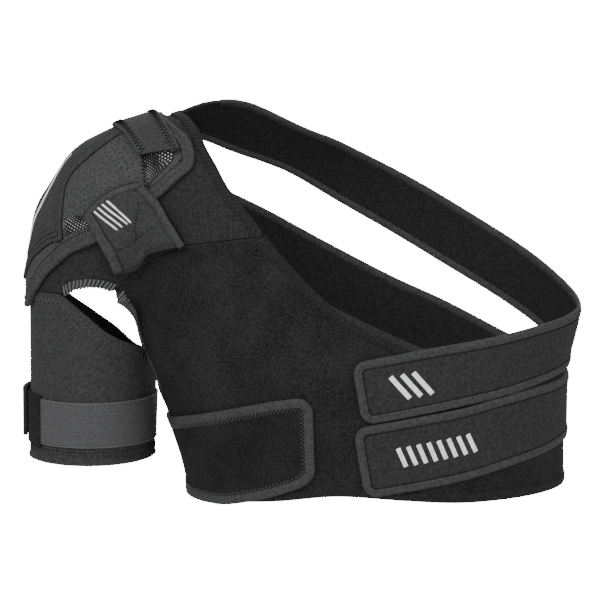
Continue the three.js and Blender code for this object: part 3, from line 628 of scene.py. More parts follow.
def trimmed(on, past_edge, low=0.5, high=1.0, count=201):
    """How far along each column of a blank the trimming line crosses it."""
    u = np.linspace(0, 1, count)
    near, far = np.full(count, low), np.full(count, high)
    crosses = past_edge(on(u, far))
    for _ in range(22):
        middle = (near + far) / 2
        past = past_edge(on(u, middle))
        far, near = np.where(past, middle, far), np.where(past, near, middle)
    limit = np.where(crosses, (near + far) / 2, high)
    return lambda share: np.interp(share, u, limit)


panel_top = trimmed(on_panel_blank, lambda p: -p[:, 2] / DROP < seam_down(p[:, 0]) + 0.001)


def on_panel(u, v):
    return on_panel_blank(u, v * panel_top(u))


panel = lay_sheet("worn_chest_panel", loop_face, on_panel, (130, 84), 0, 3, panel_gap)
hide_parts("chest_panel")

# %% [markdown]
# ## The shoulder yoke
# Above the seam the same neoprene covers the shoulder, its front strip and the shoulder
# blade. Seen from over the crown it is a round sheet with an uneven edge, so it is laid
# as a disc: spokes round the crown, each cut off where the seam or the back edge is.

# %% Outline of the yoke
YOKE_EDGE = [  # around the crown, reach from it
    (0, 108), (30, 118), (60, 134), (90, 142), (118, 134), (133, 122),
    (136, 115.1), (138.3, 107.5), (140.5, 102.7), (145.7, 93.4), (152.6, 81.7), (162.7, 71.4),
    (178, 64.4), (198, 71), (210, 82), (222, 95), (236, 113), (252, 126),
    (275, 134), (300, 132), (330, 118),
]
YOKE_BACK = [
    (-206, 0.433), (-72.2, 0.433), (-51.6, 0.425), (-31, 0.435), (-13.8, 0.48),
    (3.4, 0.53), (20.6, 0.55), (137.6, 0.55),
]
yoke_reach = round_line(YOKE_EDGE)


def past_yoke_edge(p):
    back_at, back_down = zip(*YOKE_BACK)
    limit = np.where(p[:, 1] < 0, seam_down(p[:, 0]), np.interp(p[:, 0], back_at, back_down))
    return -p[:, 2] / DROP > limit


def on_yoke_blank(u, v):
    return on_crown(u * 360, np.maximum(v, 1e-4) * yoke_reach(u * 360))


yoke_limit = trimmed(on_yoke_blank, past_yoke_edge, 0.45, 1.0, 721)


def on_yoke(u, v):
    return on_yoke_blank(u, v * yoke_limit(u))


yoke = lay_sheet("worn_yoke", yoke_face, on_yoke, (240, 44), 0, 3)
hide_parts("shoulder_yoke")

# %% [markdown]
# ## The sleeve
# The sleeve is a tube round the upper arm. Outside it hangs from the yoke, and inside its
# top edge drops towards the armpit, so one can see its dark inner face behind the front
# rim. A hem turned outwards makes its bottom edge stand off the arm a little.

# %% Sleeve
SLEEVE_TOP = [
    (-180, 0.635), (-132, 0.622), (-102, 0.566), (-76, 0.511), (-60, 0.475), (-50, 0.434),
    (0, 0.434), (62, 0.434), (70, 0.449), (87, 0.489), (111, 0.547), (140, 0.586), (180, 0.635),
]
sleeve_top = smooth_line(*zip(*SLEEVE_TOP))
SLEEVE_HEM = 0.907


def on_sleeve(u, v):
    around = 180 - 360 * u
    top = sleeve_top(around) + 0.001
    return on_arm(around, top + (SLEEVE_HEM - top) * v)


def sleeve_lift(u, v, skin):
    """The hem, which is turned outwards, stands off the arm."""
    return 2.2 * np.clip((v - 0.9) / 0.1, 0, 1) ** 2


sleeve = lay_sheet("worn_sleeve", sleeve_face, on_sleeve, (150, 56), sleeve_lift, 3, arm_gap)
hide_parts("sleeve")

# %% [markdown]
# ## The padded cap
# The cap is foam between two cloths, bound round its edge. It covers the shoulder like a
# leaf: pointed at the arm, with a front wing of lighter perforated cloth. Its outline is
# a table round the crown, like the yoke's.

# %% Cap shell
CAP_EDGE = [
    (0, 108.5), (13.5, 108.4), (20.3, 105.3), (25.1, 103.7), (33.5, 100.6), (44.5, 98.3),
    (57.7, 96.3), (69.2, 97.1), (80, 98), (104.8, 95.5), (126.3, 92.6), (132.3, 91.3),
    (137.3, 89.8), (142.5, 88.8), (145.1, 86.7), (148.7, 82.2), (151.9, 77.2), (155.5, 71),
    (162.1, 64.1), (171.7, 59.2), (188, 58.5), (203, 66), (216, 80), (228, 88),
    (267, 94.5), (285, 96), (315, 96), (330, 99.5), (346, 105),
]
cap_reach = round_line(CAP_EDGE)
ON_YOKE = 3.2
CAP_FOAM = 3.4
ON_CAP = ON_YOKE + CAP_FOAM


def on_cap(u, v):
    return on_crown(u * 360, np.maximum(v, 1e-4) * cap_reach(u * 360))


cap = lay_sheet("padded_cap", cap_face, on_cap, (220, 40), ON_YOKE, CAP_FOAM, edge=1.2)
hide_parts("cap_shell")

# %% [markdown]
# ## Bound edges and stitches
# Nearly every edge of the brace is bound with a folded strip of knit, or held by a zigzag
# cover stitch. Both follow an edge line. At each point of the line three directions are
# needed: along the edge, out of the body, and inwards over the cloth. The binding is a
# closed profile carried along the line, and the stitches are thin cords beside it.

# %% Directions along an edge
def edge_line(on, start, end, count):
    """Points of a sheet's edge between two shares of it."""
    t = np.linspace(0, 1, count)[:, None]
    shares = np.array(start) + (np.array(end) - np.array(start)) * t
    return on(shares[:, 0], shares[:, 1])


def even_line(points, step, closed=False):
    """The same line with evenly spaced points, a given step apart."""
    if closed:
        points = np.vstack([points, points[:1]])
    lengths = lengths_along(points)
    count = max(int(round(lengths[-1] / step)), 2)
    at = np.linspace(0, lengths[-1], count + 1)
    if closed:
        at = at[:-1]
    return at_lengths(at, lengths, points)


def edge_ways(points, gap, closed=False):
    if closed:
        along = np.roll(points, -1, 0) - np.roll(points, 1, 0)
    else:
        along = np.gradient(points, axis=0)
    along /= np.linalg.norm(along, axis=1, keepdims=True)
    out = outward(points, gap)
    inner = np.cross(out, along)
    return out, inner / np.linalg.norm(inner, axis=1, keepdims=True)


def beside(points, gap, side, inset, lift, closed=False):
    """Points at an inset from an edge, over the cloth, at a height over the body."""
    out, inner = edge_ways(points, gap, closed)
    over = settle(points + inner * side * np.reshape(inset, (-1, 1)), gap)
    return over + outward(over, gap) * np.reshape(lift, (-1, 1))


# %% Bindings
def plain_profile(width, low, top, puff):
    wall = top - low
    return [
        (width, low - 0.1), (width * 0.4, low - 0.35), (-0.5, low - 0.1),
        (-1.0, low + wall * 0.35), (-1.0, low + wall * 0.75), (-0.4, top + puff * 0.6),
        (width * 0.25, top + puff), (width * 0.7, top + puff * 0.9),
        (width * 0.95, top + puff * 0.55), (width, top - 0.1),
    ]


def ridged_profile(width, low, top, puff):
    wall = top - low
    return [
        (width, low - 0.1), (width * 0.4, low - 0.35), (-0.5, low - 0.1),
        (-1.2, low + wall * 0.35), (-1.3, low + wall * 0.7), (-0.6, top + puff * 0.8),
        (width * 0.16, top + puff * 1.2), (width * 0.34, top + puff), (width * 0.46, top),
        (width * 0.58, top + puff), (width * 0.76, top + puff * 1.1),
        (width * 0.92, top + puff * 0.6), (width, top - 0.1),
    ]


def bound_edge(
    name, points, gap, side, low, wall, width=7.0, closed=False, face=None, puff=0.7,
    profile=plain_profile,
):
    """A folded binding: points of the edge, the side its cloth lies on, and the cloth."""
    points = even_line(points, 2.2, closed)
    low = low(points) if callable(low) else low
    folds = profile(width, low, low + wall, puff)
    rings = [beside(points, gap, side, s, h, closed) for s, h in folds]
    rows = np.stack(rings + rings[:1])
    if closed:
        rows = np.concatenate([rows, rows[:, :1]], axis=1)
    mesh, shares = flat_grid(rows.shape[0] - 1, rows.shape[1] - 1)
    length = float(lengths_along(rows[0])[-1])
    column, row = (np.rint(shares[:, i] * (rows.shape[i] - 1)).astype(int) for i in (0, 1))
    write_uv(mesh, shares, (width * 2.4, length))
    move_to(mesh, rows[column, row])
    bmesh.ops.remove_doubles(mesh, verts=mesh.verts, dist=0.00001)
    if not closed:
        bmesh.ops.holes_fill(mesh, edges=[e for e in mesh.edges if e.is_boundary], sides=0)
    bmesh.ops.recalc_face_normals(mesh, faces=mesh.faces)
    made = new_object(name, mesh, [face or binding_face])
    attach(made, "root")
    print(name, round(length), "mm long")
    return made


# %% Zigzag and straight stitches
def thread(name, runs, thickness, face):
    """Sewing thread: each run of points is one stretch of it."""
    curve = bpy.data.curves.new(name, "CURVE")
    curve.dimensions = "3D"
    curve.bevel_depth = thickness / 2 * MM
    curve.bevel_resolution = 0
    curve.use_fill_caps = True
    for run in runs:
        spline = curve.splines.new("POLY")
        spline.points.add(len(run) - 1)
        flat = np.concatenate([run * MM, np.ones((len(run), 1))], axis=1)
        spline.points.foreach_set("co", flat.ravel())
    curve.materials.append(face)
    made = bpy.data.objects.new(name, curve)
    bpy.context.scene.collection.objects.link(made)
    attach(made, "root")
    return made


def zigzag(
    name, points, gap, side, near, far, height, step=2.0, closed=False, face=None, thickness=0.7
):
    points = even_line(points, step, closed)
    inset = np.where(np.arange(len(points)) % 2 == 0, near, far)
    run = beside(points, gap, side, inset, height, closed)
    if closed:
        run = np.vstack([run, run[:1]])
    return thread(name, [run], thickness, face or thread_face)


def stitch_row(
    name, points, gap, side, inset, height, stitch=2.6, face=None, thickness=0.5, closed=False
):
    points = even_line(points, stitch / 2, closed)
    line = beside(points, gap, side, inset, height, closed)
    runs = [line[i:i + 2] for i in range(0, len(line) - 1, 2)]
    return thread(name, runs, thickness, face or dark_thread)


def overlock(name, points, gap, side, height, reach=6.0, step=2.9, thickness=1.9):
    """Thick thread wrapped over an edge, each wrap slanting on to the cloth like a rope."""
    points = even_line(points, step)
    over = [
        (-1.2, height - 2.4), (-0.6, height - 0.2), (reach * 0.35, height + 0.5), (reach, height - 0.1),
    ]
    rings = [beside(points, gap, side, s, h) for s, h in over]
    runs = [
        np.array([rings[0][i], rings[1][i], (rings[2][i] + rings[2][i + 1]) / 2, rings[3][i + 1]])
        for i in range(len(points) - 1)
    ]
    return thread(name, runs, thickness, bright_thread)


INK = 0.12


def printed(name, on, gap, bars, lift, width):
    """Thin printed bars, each from one pair of shares to another."""
    made = []
    for number, (start, end) in enumerate(bars):
        line = edge_line(on, start, end, 24)
        made.append(
            bound_edge(f"{name}_{number}", line, gap, 1, lift, INK, width, face=print_face, puff=0.1)
        )
    return made


# %% Binding and stitches of the chest panel
WALL = 3
ZIG = {"near": 1.2, "far": 6.4, "height": WALL + 0.85, "thickness": 0.8}
ROPE_HIGH = WALL + 1.0
panel_right = edge_line(on_panel, (1, 0), (1, 1), 160)
panel_left = edge_line(on_panel, (0, 0.02), (0, 0.99), 120)
panel_hem = edge_line(on_panel, (0, 0), (1, 0), 240)
panel_edge = bound_edge("panel_front_binding", panel_right, panel_gap, 1, 0, WALL, 7.0, face=edge_face)
panel_zig = zigzag("panel_front_stitch", panel_right, panel_gap, 1, **ZIG)
panel_rope = edge_line(on_panel, (0, 0.6), (0, 0.99), 120)
armhole_edge = bound_edge("panel_armhole_binding", panel_left, panel_gap, -1, 0, WALL, 6.0)
armhole_rope = overlock("panel_armhole_rope", panel_rope, panel_gap, -1, ROPE_HIGH)
hem_edge = bound_edge("panel_hem_binding", panel_hem, panel_gap, 1, 0, WALL, 7.0, face=edge_face)
hem_zig = zigzag("panel_hem_stitch", panel_hem, panel_gap, 1, **ZIG)
panel_seam = edge_line(on_panel, (0.05, 1), (0.98, 1), 200)
seam_run = beside(even_line(panel_seam, 2.2), panel_gap, -1, -0.3, 1.4)
seam_tape = thread("panel_seam_tape", [seam_run], 2.6, dark_thread)
seam_thread = stitch_row(
    "panel_seam_stitch", panel_seam, panel_gap, -1, 1.6, WALL + 0.15, 3.0, thread_face, 0.45
)


# %% Binding and stitches of the yoke
def yoke_line(start, end, count):
    u = np.linspace(start, end, count) / 360
    return on_yoke(u % 1, np.ones(count))


yoke_neck = yoke_line(133.6, 196, 130)
yoke_arch = yoke_line(41, 64.0, 90)
neck_edge = bound_edge("yoke_neck_binding", yoke_neck, body_gap, 1, 0, WALL, 7.0, face=edge_face)
neck_zig = zigzag("yoke_neck_stitch", yoke_neck, body_gap, 1, **ZIG)
arch_edge = bound_edge("yoke_arch_binding", yoke_arch, body_gap, 1, 0, WALL, 6.0)
arch_rope = overlock("yoke_arch_rope", yoke_arch, body_gap, 1, ROPE_HIGH)
print("yoke arch from", yoke_arch[0].round(), "to", yoke_arch[-1].round())

# %% Hem and rim of the sleeve
sleeve_hem = edge_line(on_sleeve, (0, 1), (1, 1), 200)[:-1]
sleeve_rim = edge_line(on_sleeve, (0, 0), (1, 0), 300)[:-1]
hem_ring = stitch_row("sleeve_hem_rows", sleeve_hem, arm_gap, -1, 11.5, 3.3, closed=True)
hem_zigzag = zigzag("sleeve_hem_stitch", sleeve_hem, arm_gap, -1, 4.2, 10.2, 3.6, 2.3, closed=True)
rim_zigzag = zigzag(
    "sleeve_rim_stitch", sleeve_rim, arm_gap, 1, 4.0, 8.0, 3.2, 2.3, True, bright_thread, 0.6
)

# %% Binding of the cap
cap_around = np.linspace(0, 1, 361)[:-1]
cap_outline = on_cap(cap_around, np.ones(360))
cap_edge = bound_edge(
    "cap_edge_binding", cap_outline, body_gap, 1, ON_YOKE, CAP_FOAM, 8.6, True, None, 1.1, ridged_profile
)
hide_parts("cap_binding")
stitch_row(
    "cap_binding_stitch", cap_outline, body_gap, 1, 9.2, ON_CAP + 0.05, 2.2, thickness=0.8, closed=True
)

# %% [markdown]
# ## The centre pad with its piping ribs
# A thicker pad runs over the middle of the cap, from the keeper loop to the tip at the
# arm. Three ribs run along each of its long edges, beside a dark seam. The ribs are part of
# the pad's own surface: its height is a function of the distance from its edge.

# %% Centre pad
PAD_ROWS = [
    (99, 6), (95, 16), (87, 28.5), (74, 47), (60, 61), (50, 70), (46.7, 68.3), (43.7, 65),
    (36.2, 59), (28.4, 52.2), (17.1, 42.3), (5, 37.9), (-7.6, 36), (-19.7, 31), (-44, 22),
]
PAD_TIP, PAD_TOP = 99, -44
RIB_WIDE = 4.8
RIBS_WIDE = 14.4
pad_half = smooth_line(*zip(*PAD_ROWS))


def pad_out(v):
    return PAD_TIP + (PAD_TOP - PAD_TIP) * (1 - np.cos(v * math.pi / 2))


def on_pad(u, v):
    out = pad_out(v)
    return on_crown_map(out, pad_half(out) * (1 - 2 * u))


def pad_height(u, v, skin):
    """Over the cap: three ribs beside each edge, and a soft crown between them."""
    near = np.minimum(u, 1 - u) * pad_half(pad_out(v)) * 2.3
    rib = np.abs(np.sin(np.clip(near / RIB_WIDE, 0, 3) * math.pi)) ** 0.6
    ribs = np.where(near < RIBS_WIDE, 0.7 + 2.0 * rib, 0)
    crown = np.where(near >= RIBS_WIDE, 0.8 + 1.9 * (1 - np.exp(-(near - RIBS_WIDE) / 5)), 0)
    ends = np.clip(v / 0.04, 0, 1)
    return ON_CAP - 1.4 + (ribs + crown) * ends


pad = lay_sheet("ribbed_centre_pad", pad_face, on_pad, (200, 80), pad_height, 0.8, edge=0)
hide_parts("cap_centre_pad")
for seam_name, share, way in (("front", 0.0, 1), ("back", 1.0, -1)):
    seam = even_line(edge_line(on_pad, (share, 0.03), (share, 0.97), 160), 2.0)
    run = beside(seam, body_gap, way, -0.4, ON_CAP + 0.1)
    thread(f"pad_seam_{seam_name}", [run], 1.1, dark_thread)
pad_lines = [((0.3, 0.25), (0.3, 0.8)), ((0.32, 0.25), (0.32, 0.76))]
printed("cap_lines", on_pad, body_gap, pad_lines, ON_CAP + 2.1, 0.4)

# %% [markdown]
# ## Mesh windows, keeper loop and pull tab
# These small pieces lie over the cap. Each is named by its two edges on the crown's map,
# row by row. Where one runs off the cap on to the panel it comes down by the cap's height.

# %% Overlays on the shoulder
def overlay(rows):
    """Rows of: out and fore at the left, out and fore at the right, bow towards the front."""
    at = np.linspace(0, 1, len(rows))
    lines = [smooth_line(at, [row[i] for row in rows]) for i in range(5)]

    def on(u, v):
        left_out, left_fore, right_out, right_fore, bow = (line(v) for line in lines)
        out = left_out + (right_out - left_out) * u
        fore = left_fore + (right_fore - left_fore) * u
        return on_crown_map(out, fore + bow * 4 * u * (1 - u))

    return on


OFF_CAP = ON_YOKE + 1.6


def off_the_cap(skin, high, low=OFF_CAP):
    """The height over the cap, falling to low over the yoke beyond the cap's edge."""
    ray = skin - CROWN
    ray /= np.linalg.norm(ray, axis=1, keepdims=True)
    reach = np.degrees(np.arccos(np.clip(ray @ CROWN_UP, -1, 1)))
    around = np.degrees(np.arctan2(ray @ CROWN_FORE, ray @ CROWN_OUT)) % 360
    t = np.clip((reach - cap_reach(around) - 1.5) / 12, 0, 1)
    return high + (low - high) * t * t * (3 - 2 * t)


LOW_WINDOW = [
    (46.5, 71.3, 41, 65.8, 0), (31.4, 80.6, 29, 69.5, 0), (15, 86, 16, 78, 0),
]
HIGH_WINDOW = [
    (-49.2, 44.7, -63.8, 40.5, 0), (-48.7, 53.8, -64, 48.5, 0), (-48.9, 62, -58, 58.3, 0),
    (-49, 68.6, -51.3, 66.3, 0),
]
windows = {}
for name, node, rows in (
    ("low_window", "low_mesh_window", LOW_WINDOW), ("high_window", "high_mesh_window", HIGH_WINDOW)
):
    windows[name] = overlay(rows)
    window = lay_sheet(name, mesh_face, windows[name], (24, 24), ON_CAP + 0.05, 0.7, edge=0.25)
    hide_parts(node)
high_side = edge_line(windows["high_window"], (0, 0), (0, 1), 60)
zigzag(
    "high_window_seam", high_side, body_gap, 1, -1.8, 2.2, ON_CAP + 0.7, 1.5,
    face=dark_thread, thickness=1.0,
)

# %% Keeper loop
KEEPER = [
    (-47.8, 48.8, -66.3, 44.5, 0), (-44.3, 38.6, -63.9, 37.7, 0), (-40.2, 24.2, -61.3, 28.6, 0),
    (-36.8, 10.6, -58.6, 14.6, 0), (-34, -10, -56, -8, 0), (-35, -32, -57, -29, 0),
    (-40, -50, -59, -46, 0),
]
on_keeper = overlay(KEEPER)
OVER_PAD = ON_CAP + 2.2


def keeper_lift(u, v, skin):
    return off_the_cap(skin, OVER_PAD)


keeper = lay_sheet("worn_keeper_loop", pad_face, on_keeper, (20, 70), keeper_lift, 2.0)
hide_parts("keeper_loop")
keeper_extras = []
for edge_name, share, way in (("left", 0, -1), ("right", 1, 1)):
    line = edge_line(on_keeper, (share, 0.02), (share, 0.98), 120)
    keeper_extras += [
        bound_edge(f"keeper_band_{edge_name}", line, body_gap, way, OVER_PAD, 2.0, 6, puff=0.6),
        zigzag(
            f"keeper_stitch_{edge_name}", line, body_gap, way, 0.8, 5.6, OVER_PAD + 2.8, 1.6,
            face=dark_thread,
        ),
    ]

# %% Pull tab
TAB_ROWS = [
    (16.5, 78.5, -44.5, 67.2, 0), (18.3, 88.4, -51.5, 72.9, 3), (21.1, 96.5, -58, 78.5, 7),
    (23.2, 104.3, -61.4, 85.7, 11), (27.7, 110.2, -62.9, 92.7, 15.5), (35.4, 116.6, -62.2, 99.8, 21),
]
on_tab = overlay(TAB_ROWS)


TAB_HIGH = ON_CAP + 1.4
TAB_LOW = ON_YOKE + 5.0
TAB_WALL = 2.2


def tab_height(points):
    """The tab lies on the cap, and its foot on the seam of the chest panel."""
    return off_the_cap(points, TAB_HIGH, TAB_LOW)


tab = lay_sheet(
    "worn_pull_tab", pad_face, on_tab, (60, 60), lambda u, v, skin: tab_height(skin), TAB_WALL
)
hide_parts("pull_tab")


def on_tab_line(name, start, end, inset, high, side, stitch, face, thickness):
    """A row of stitches on the tab, which comes down where the tab does. The same dashes also draw the
    painted shadow along the tab's top edge.
    """
    points = even_line(edge_line(on_tab, start, end, 80), stitch / 2)
    line = beside(points, body_gap, side, inset, tab_height(points) + TAB_WALL + high)
    return thread(name, [line[i:i + 2] for i in range(0, len(line) - 1, 2)], thickness, face)


def tab_edge(name, start, end, side, width, puff):
    line = edge_line(on_tab, start, end, 80)
    return bound_edge(name, line, body_gap, side, tab_height, TAB_WALL, width, puff=puff)


tab_extras = [
    tab_edge("pull_tab_left_binding", (0, 0), (0, 1), 1, 6.0, 0.9),
    tab_edge("pull_tab_right_binding", (1, 0), (1, 1), -1, 4.5, 0.5),
    tab_edge("pull_tab_top_fold", (0, 0), (1, 0), -1, 3.2, 1.2),
    on_tab_line("pull_tab_left_stitch", (0, 0), (0, 1), 6.8, 0.1, 1, 1.6, dark_thread, 0.9),
    on_tab_line("pull_tab_right_stitch", (1, 0), (1, 1), 6.0, 0.1, -1, 3.0, dark_thread, 0.6),
    # A thick row of dark dashes, just outside the tab's top edge and below its top, is a painted shadow:
    # it stands in for the shade that the edge casts on the cap.
    on_tab_line("pull_tab_top_gap", (0, 0), (1, 0), -0.9, -1.15, -1, 1.2, dark_thread, 1.8),
    on_tab_line("pull_tab_cross_stitch", (0.12, 0.66), (0.9, 0.66), 0, 0.1, 1, 2.4, dark_thread, 0.6),
    on_tab_line("pull_tab_slant_stitch", (0.84, 0.24), (0.55, 0.64), 0, 0.1, 1, 2.6, dark_thread, 0.8),
]
tab_foot = even_line(edge_line(on_tab, (0, 1), (1, 1), 80), 1.7)
foot_inset = np.where(np.arange(len(tab_foot)) % 2 == 0, -0.6, 5.4)
foot_run = beside(tab_foot, body_gap, 1, foot_inset, tab_height(tab_foot) + TAB_WALL + 0.2)
tab_extras.append(thread("pull_tab_foot_stitch", [foot_run], 1.0, thread_face))
tab_bars = [((u, 0.08), (u + 0.15, 0.42)) for u in (0.2, 0.29, 0.38, 0.47)]
tab_extras += printed(
    "pull_tab_mark", on_tab, body_gap, tab_bars, lambda points: tab_height(points) + TAB_WALL, 0.5
)

# %% [markdown]
# ## The straps
# Two straps leave the back of the yoke, run round the left flank and end on the chest in
# flat tabs with rounded corners. Each is a ribbon of constant width along a guide line
# that is pressed on to the body, so it banks and turns as a worn strap does.

# %% A strap along its guide line
UPPER = [  # across, behind, down, share of the width
    (12, 19.2, -6, 1), (53.3, 42.9, -3, 1), (84.3, 62.2, 9, 1), (123.8, 81.4, 27, 1),
    (170.3, 99.4, 52.5, 1), (215, 107.4, 76.5, 1), (261.4, 105.1, 103.5, 1),
    (304.4, 88.1, 129, 1), (338.8, 54.2, 153, 0.98), (352.6, 11.3, 165.9, 0.96),
    (344, -41.8, 171, 0.96), (319.9, -79.1, 176.4, 0.96), (283.8, -99.4, 182.4, 0.98),
    (228.8, -113, 190.8, 1), (170.3, -116.4, 201.3, 1),
]
LOWER = [
    (22.4, 65.5, 70.5, 1), (46.4, 76.8, 82.5, 1), (86, 97.2, 103.5, 1), (127.3, 110.7, 127.5, 1),
    (196.1, 115.3, 163.5, 1), (240.8, 109.6, 183, 1), (295.8, 90.4, 207, 0.97),
    (333.7, 50.9, 220.5, 0.94), (347.4, 0, 225.6, 0.93), (338.8, -42.9, 227.4, 0.95),
    (314.8, -76.8, 231.3, 1), (285.5, -96.1, 236.7, 1.06), (258, -105.1, 243, 1.08),
    (216.7, -113, 250.5, 1.1), (172, -116.4, 258.6, 1.1),
]
STRAP_CORNER = 10.0


def corner_inset(distance, radius):
    short = np.clip(radius - distance, 0, radius)
    return radius - np.sqrt(radius**2 - short**2)


def crowded(t):
    return 1 - (1 - t) ** 1.35


def guide_line(rows):
    """A smooth line through the strap's guide points, once they lie on the body."""
    guide = settle(np.array([(x, y, -z) for x, y, z, _ in rows], float), body_gap)
    steps = np.concatenate([[0], np.cumsum(np.sqrt(np.linalg.norm(np.diff(guide, axis=0), axis=1)))])
    dense = np.linspace(0, steps[-1], 1200)
    ways = np.gradient(guide, steps, axis=0)
    i = np.clip(np.searchsorted(steps, dense, side="right") - 1, 0, len(steps) - 2)
    span = (steps[i + 1] - steps[i])[:, None]
    t = (dense - steps[i])[:, None] / span
    line = (2 * t**3 - 3 * t**2 + 1) * guide[i] + (t**3 - 2 * t**2 + t) * span * ways[i]
    line += (3 * t**2 - 2 * t**3) * guide[i + 1] + (t**3 - t**2) * span * ways[i + 1]
    return line


def ribbon(rows, width):
    line = guide_line(rows)
    lengths = lengths_along(line)
    length = lengths[-1]
    share = smooth_line(np.linspace(0, 1, len(rows)), [row[3] for row in rows])
    along_line = np.gradient(line, lengths, axis=0)

    def on(u, v):
        place = crowded(v)
        at = place * length
        middle = settle(at_lengths(at, lengths, line), body_gap)
        tangent = at_lengths(at, lengths, along_line)
        side = np.cross(outward(middle, body_gap), tangent)
        side /= np.linalg.norm(side, axis=1, keepdims=True)
        half = width * share(place) / 2 - corner_inset((1 - place) * length, STRAP_CORNER)
        return settle(middle + side * ((1 - 2 * u) * half)[:, None], body_gap)

    return on


on_upper = ribbon(UPPER, 49)
on_lower = ribbon(LOWER, 52)
STRAP_LIFT = 3.3
STRAP_WALL = 2.4
STRAP_TOP = STRAP_LIFT + STRAP_WALL

def strap_start_lift(u, v, skin):
    """The strap comes out of the yoke, which it is sewn into."""
    return STRAP_LIFT - 3.0 * np.clip(1 - v / 0.035, 0, 1) ** 1.5


def ribbon_edge(on, start=0.045):
    """The edge of a strap: along one side, round its end and back along the other."""
    v = np.concatenate([np.linspace(start, 0.9, 260), np.linspace(0.9, 1, 60)[1:]])
    there = on(np.zeros(len(v)), v)
    across = on(np.linspace(0, 1, 24)[1:-1], np.ones(22))
    back = on(np.ones(len(v)), v[::-1])
    return np.vstack([there, across, back])


def spot(strap, across, back):
    """Shares of a place on a strap: share across, and millimetres back from its end."""
    return across, 1 - (back / sheets[strap]["size"][1]) ** (1 / 1.35)


# %% Both straps with their bindings, stitches and marks
# ribbon, cells along it, cross stitch from the end, marks (shares, place, slant), their width
STRAPS = {
    "upper": (on_upper, 300, 85, [(0.3, 0.7, back, 6) for back in (34, 43, 52)], 3.0),
    "lower": (on_lower, 280, 113, [(0.36, 0.64, back, 2) for back in range(34, 92, 8)], 2.6),
}
for side, (on, cells, cross_at, marks, mark_width) in STRAPS.items():
    name = f"worn_{side}_strap"
    strap = lay_sheet(name, strap_face, on, (22, cells), strap_start_lift, STRAP_WALL)
    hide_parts(f"{side}_strap")
    line = ribbon_edge(on)
    cross = edge_line(on, spot(name, 0.14, cross_at + 3), spot(name, 0.86, cross_at - 3), 40)
    bars = [(spot(name, a, at + slant), spot(name, b, at - slant)) for a, b, at, slant in marks]
    seams = [  # name, line, side, inset, height over the strap, stitch, thread, thickness
        (f"{side}_strap_stitch", line, -1, 3.6, 0.7, 2.4, thread_face, 0.4),
        (f"{side}_strap_groove", line, -1, 6.4, 0.05, 1.7, dark_thread, 0.9),
        (f"{name}_cross_stitch", cross, 1, 0, 0.05, 2.6, thread_face, 0.6),
    ]
    extras = [
        bound_edge(f"{side}_strap_binding", line, body_gap, -1, STRAP_LIFT, STRAP_WALL, 5.6, puff=0.6)
    ]
    for seam_name, seam, way, inset, high, *thread_kind in seams:
        row = stitch_row(seam_name, seam, body_gap, way, inset, STRAP_TOP + high, *thread_kind)
        extras.append(row)
    extras += printed(f"{side}_strap_mark", on, body_gap, bars, STRAP_TOP - 0.05, mark_width)

# %% [markdown]
# ## The side tab and the belt
# At the back the brace is closed low down by a belt of the same cloth. Its end comes
# round the right flank and lands on the chest as a tab with a wide binding.

# %% Side tab
SIDE_TAB = [  # turn, top, low
    (-116, 0.79, 1.0), (-84, 0.785, 1.003), (-60, 0.748, 0.997), (-42, 0.712, 0.968),
    (-30, 0.692, 0.94), (-19, 0.683, 0.914),
]
BELT = [(97.5, 0.85, 0.965), (150, 0.8, 0.975), (200, 0.785, 0.98), (250, 0.795, 0.995)]


def band(rows, end=0.0, corner=0.0):
    turn_at, top_at, low_at = zip(*rows)
    top, low = smooth_line(turn_at, top_at), smooth_line(turn_at, low_at)

    def on(u, v):
        place = crowded(v) if corner else v
        turn = turn_at[0] + (turn_at[-1] - turn_at[0]) * place
        inset = corner_inset((1 - place) * end, corner) / DROP if corner else 0
        high = top(turn) + inset
        return on_chest(turn, high + (low(turn) - inset - high) * u)

    return on


on_side_tab = band(SIDE_TAB, 190, 12)
on_belt = band(BELT)
side_tab = lay_sheet(
    "worn_side_tab", hook_face, on_side_tab, (40, 110), STRAP_LIFT, STRAP_WALL, panel_gap
)
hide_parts("side_tab")


def belt_lift(u, v, skin):
    """The belt starts on the panel, runs on the body, and ends under the side tab."""
    t = np.clip((v - 0.05) / 0.12, 0, 1)
    return 3.1 * (1 - t * t * (3 - 2 * t)) + 0.15


belt = lay_sheet("worn_waist_belt", loop_face, on_belt, (30, 110), belt_lift, 3, panel_gap)
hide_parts("waist_belt")
side_line = ribbon_edge(on_side_tab, 0.0)
side_edge = bound_edge(
    "side_tab_binding", side_line, panel_gap, -1, STRAP_LIFT, STRAP_WALL, 6.4, puff=0.9
)
side_zig = zigzag(
    "side_tab_stitch", side_line, panel_gap, -1, 5.6, 9.2, STRAP_TOP + 0.35, 1.7,
    face=bright_thread, thickness=0.6,
)

# %% [markdown]
# ## The arm strap
# A ribbed elastic goes round the sleeve above its hem. It is sewn to a dark patch at the
# outside of the arm, where a folded tab closes it.

# %% Elastic, patch and folded tab
def arm_band(start, end, top, height):
    def on(u, v):
        return on_arm(start + (end - start) * u, (top + height * v) / DROP)

    return on


ON_SLEEVE, ELASTIC = 3.1, 1.6
for line_name, down in (("arm_strap_top_line", 220), ("arm_strap_low_line", 256)):
    points = on_arm(np.linspace(42, 349, 220), np.full(220, down / DROP))
    points = points + outward(points, arm_gap) * (ON_SLEEVE + ELASTIC + 0.05)
    thread(line_name, [points], 0.7, bright_thread)

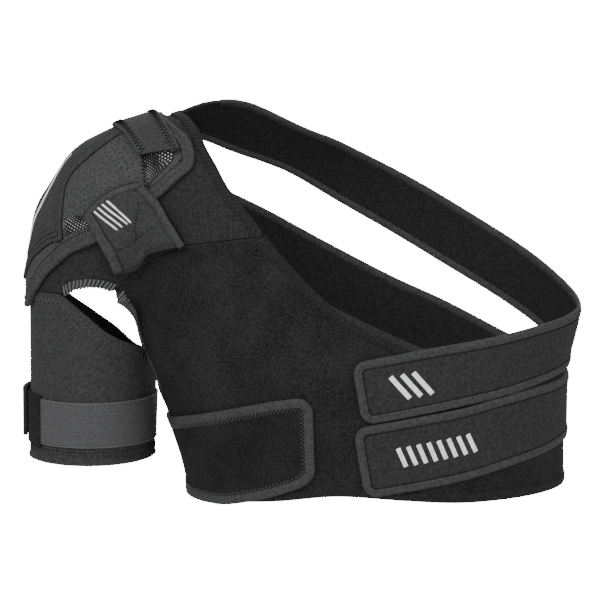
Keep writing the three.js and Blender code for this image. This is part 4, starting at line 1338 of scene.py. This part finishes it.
# piece, node, slot, face, (start, end, top, height), cells, height over the arm, wall, edge
ARM_PIECES = [
    (
        "worn_arm_strap", "arm_strap", "elastic", elastic_face, (40.5, 350, 219, 38), (140, 12),
        ON_SLEEVE, ELASTIC, 0.5,
    ),
    (
        "worn_arm_patch", "arm_strap_patch", "hook", hook_face, (-9.5, 41.5, 217, 42), (30, 14),
        ON_SLEEVE, 2.4, 0.5,
    ),
    ("worn_arm_tab", "arm_strap_tab", "webbing", strap_face, (-20, 10, 214, 41), (20, 14), 5.6, 4.0, 1.2),
]
for name, node, slot, face, place, cells, lift, wall, edge in ARM_PIECES:
    made = lay_sheet(name, face, arm_band(*place), cells, lift, wall, arm_gap, edge)
    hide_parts(node)

# %% [markdown]
# ## Studio
# The photograph is a cut-out on white under broad soft light from the upper left. A pale
# round floor far below keeps its shadow off the brace, large area lamps do the rest, and
# the camera itself sees a white surround that is brighter than the light it gives.

# %% Floor and lamps
FLOOR_RADIUS, FLOOR_BELOW = 1.5, 0.9
floor_mesh = bmesh.new()
bmesh.ops.create_circle(floor_mesh, cap_ends=True, segments=96, radius=FLOOR_RADIUS)
floor_place = (0.12, 0, cad_box[0][2] - FLOOR_BELOW)
bmesh.ops.translate(floor_mesh, verts=floor_mesh.verts, vec=floor_place)
floor_finish, floor_tree, floor_shader = finish("floor_finish", 0.9)
floor_tone = grain(floor_tree, object_place(floor_tree), 3.0)
pale = between(floor_tree, floor_tone, [(0, (0.9, 0.9, 0.9, 1)), (1, (0.93, 0.93, 0.93, 1))])
floor_tree.links.new(pale, floor_shader.inputs["Base Color"])
floor = new_object("floor", floor_mesh, [floor_finish])

world = bpy.data.worlds.new("studio")
bpy.context.scene.world = world
world.use_nodes = True
SEEN_WHITE, GIVEN_LIGHT = 16.0, 0.9
sky = world.node_tree
surround = sky.nodes["Background"]
surround.inputs["Color"].default_value = (1, 1, 1, 1)
seen = sky.nodes.new("ShaderNodeLightPath").outputs["Is Camera Ray"]
sky.links.new(add(sky, times(sky, seen, SEEN_WHITE), GIVEN_LIGHT), surround.inputs["Strength"])


def lamp(name, at, size, power):
    data = bpy.data.lights.new(name, "AREA")
    data.size = size
    data.energy = power
    made = bpy.data.objects.new(name, data)
    made.location = at
    aim = Vector((0.12, 0, -0.15)) - Vector(at)
    made.rotation_euler = aim.to_track_quat("-Z", "Y").to_euler()
    bpy.context.scene.collection.objects.link(made)


lamp("key", (-1.1, -1.5, 1.3), 1.2, 40)
lamp("fill", (1.5, -1.3, 0.5), 1.4, 16)
lamp("back", (0.3, 1.6, 1.2), 1.4, 24)
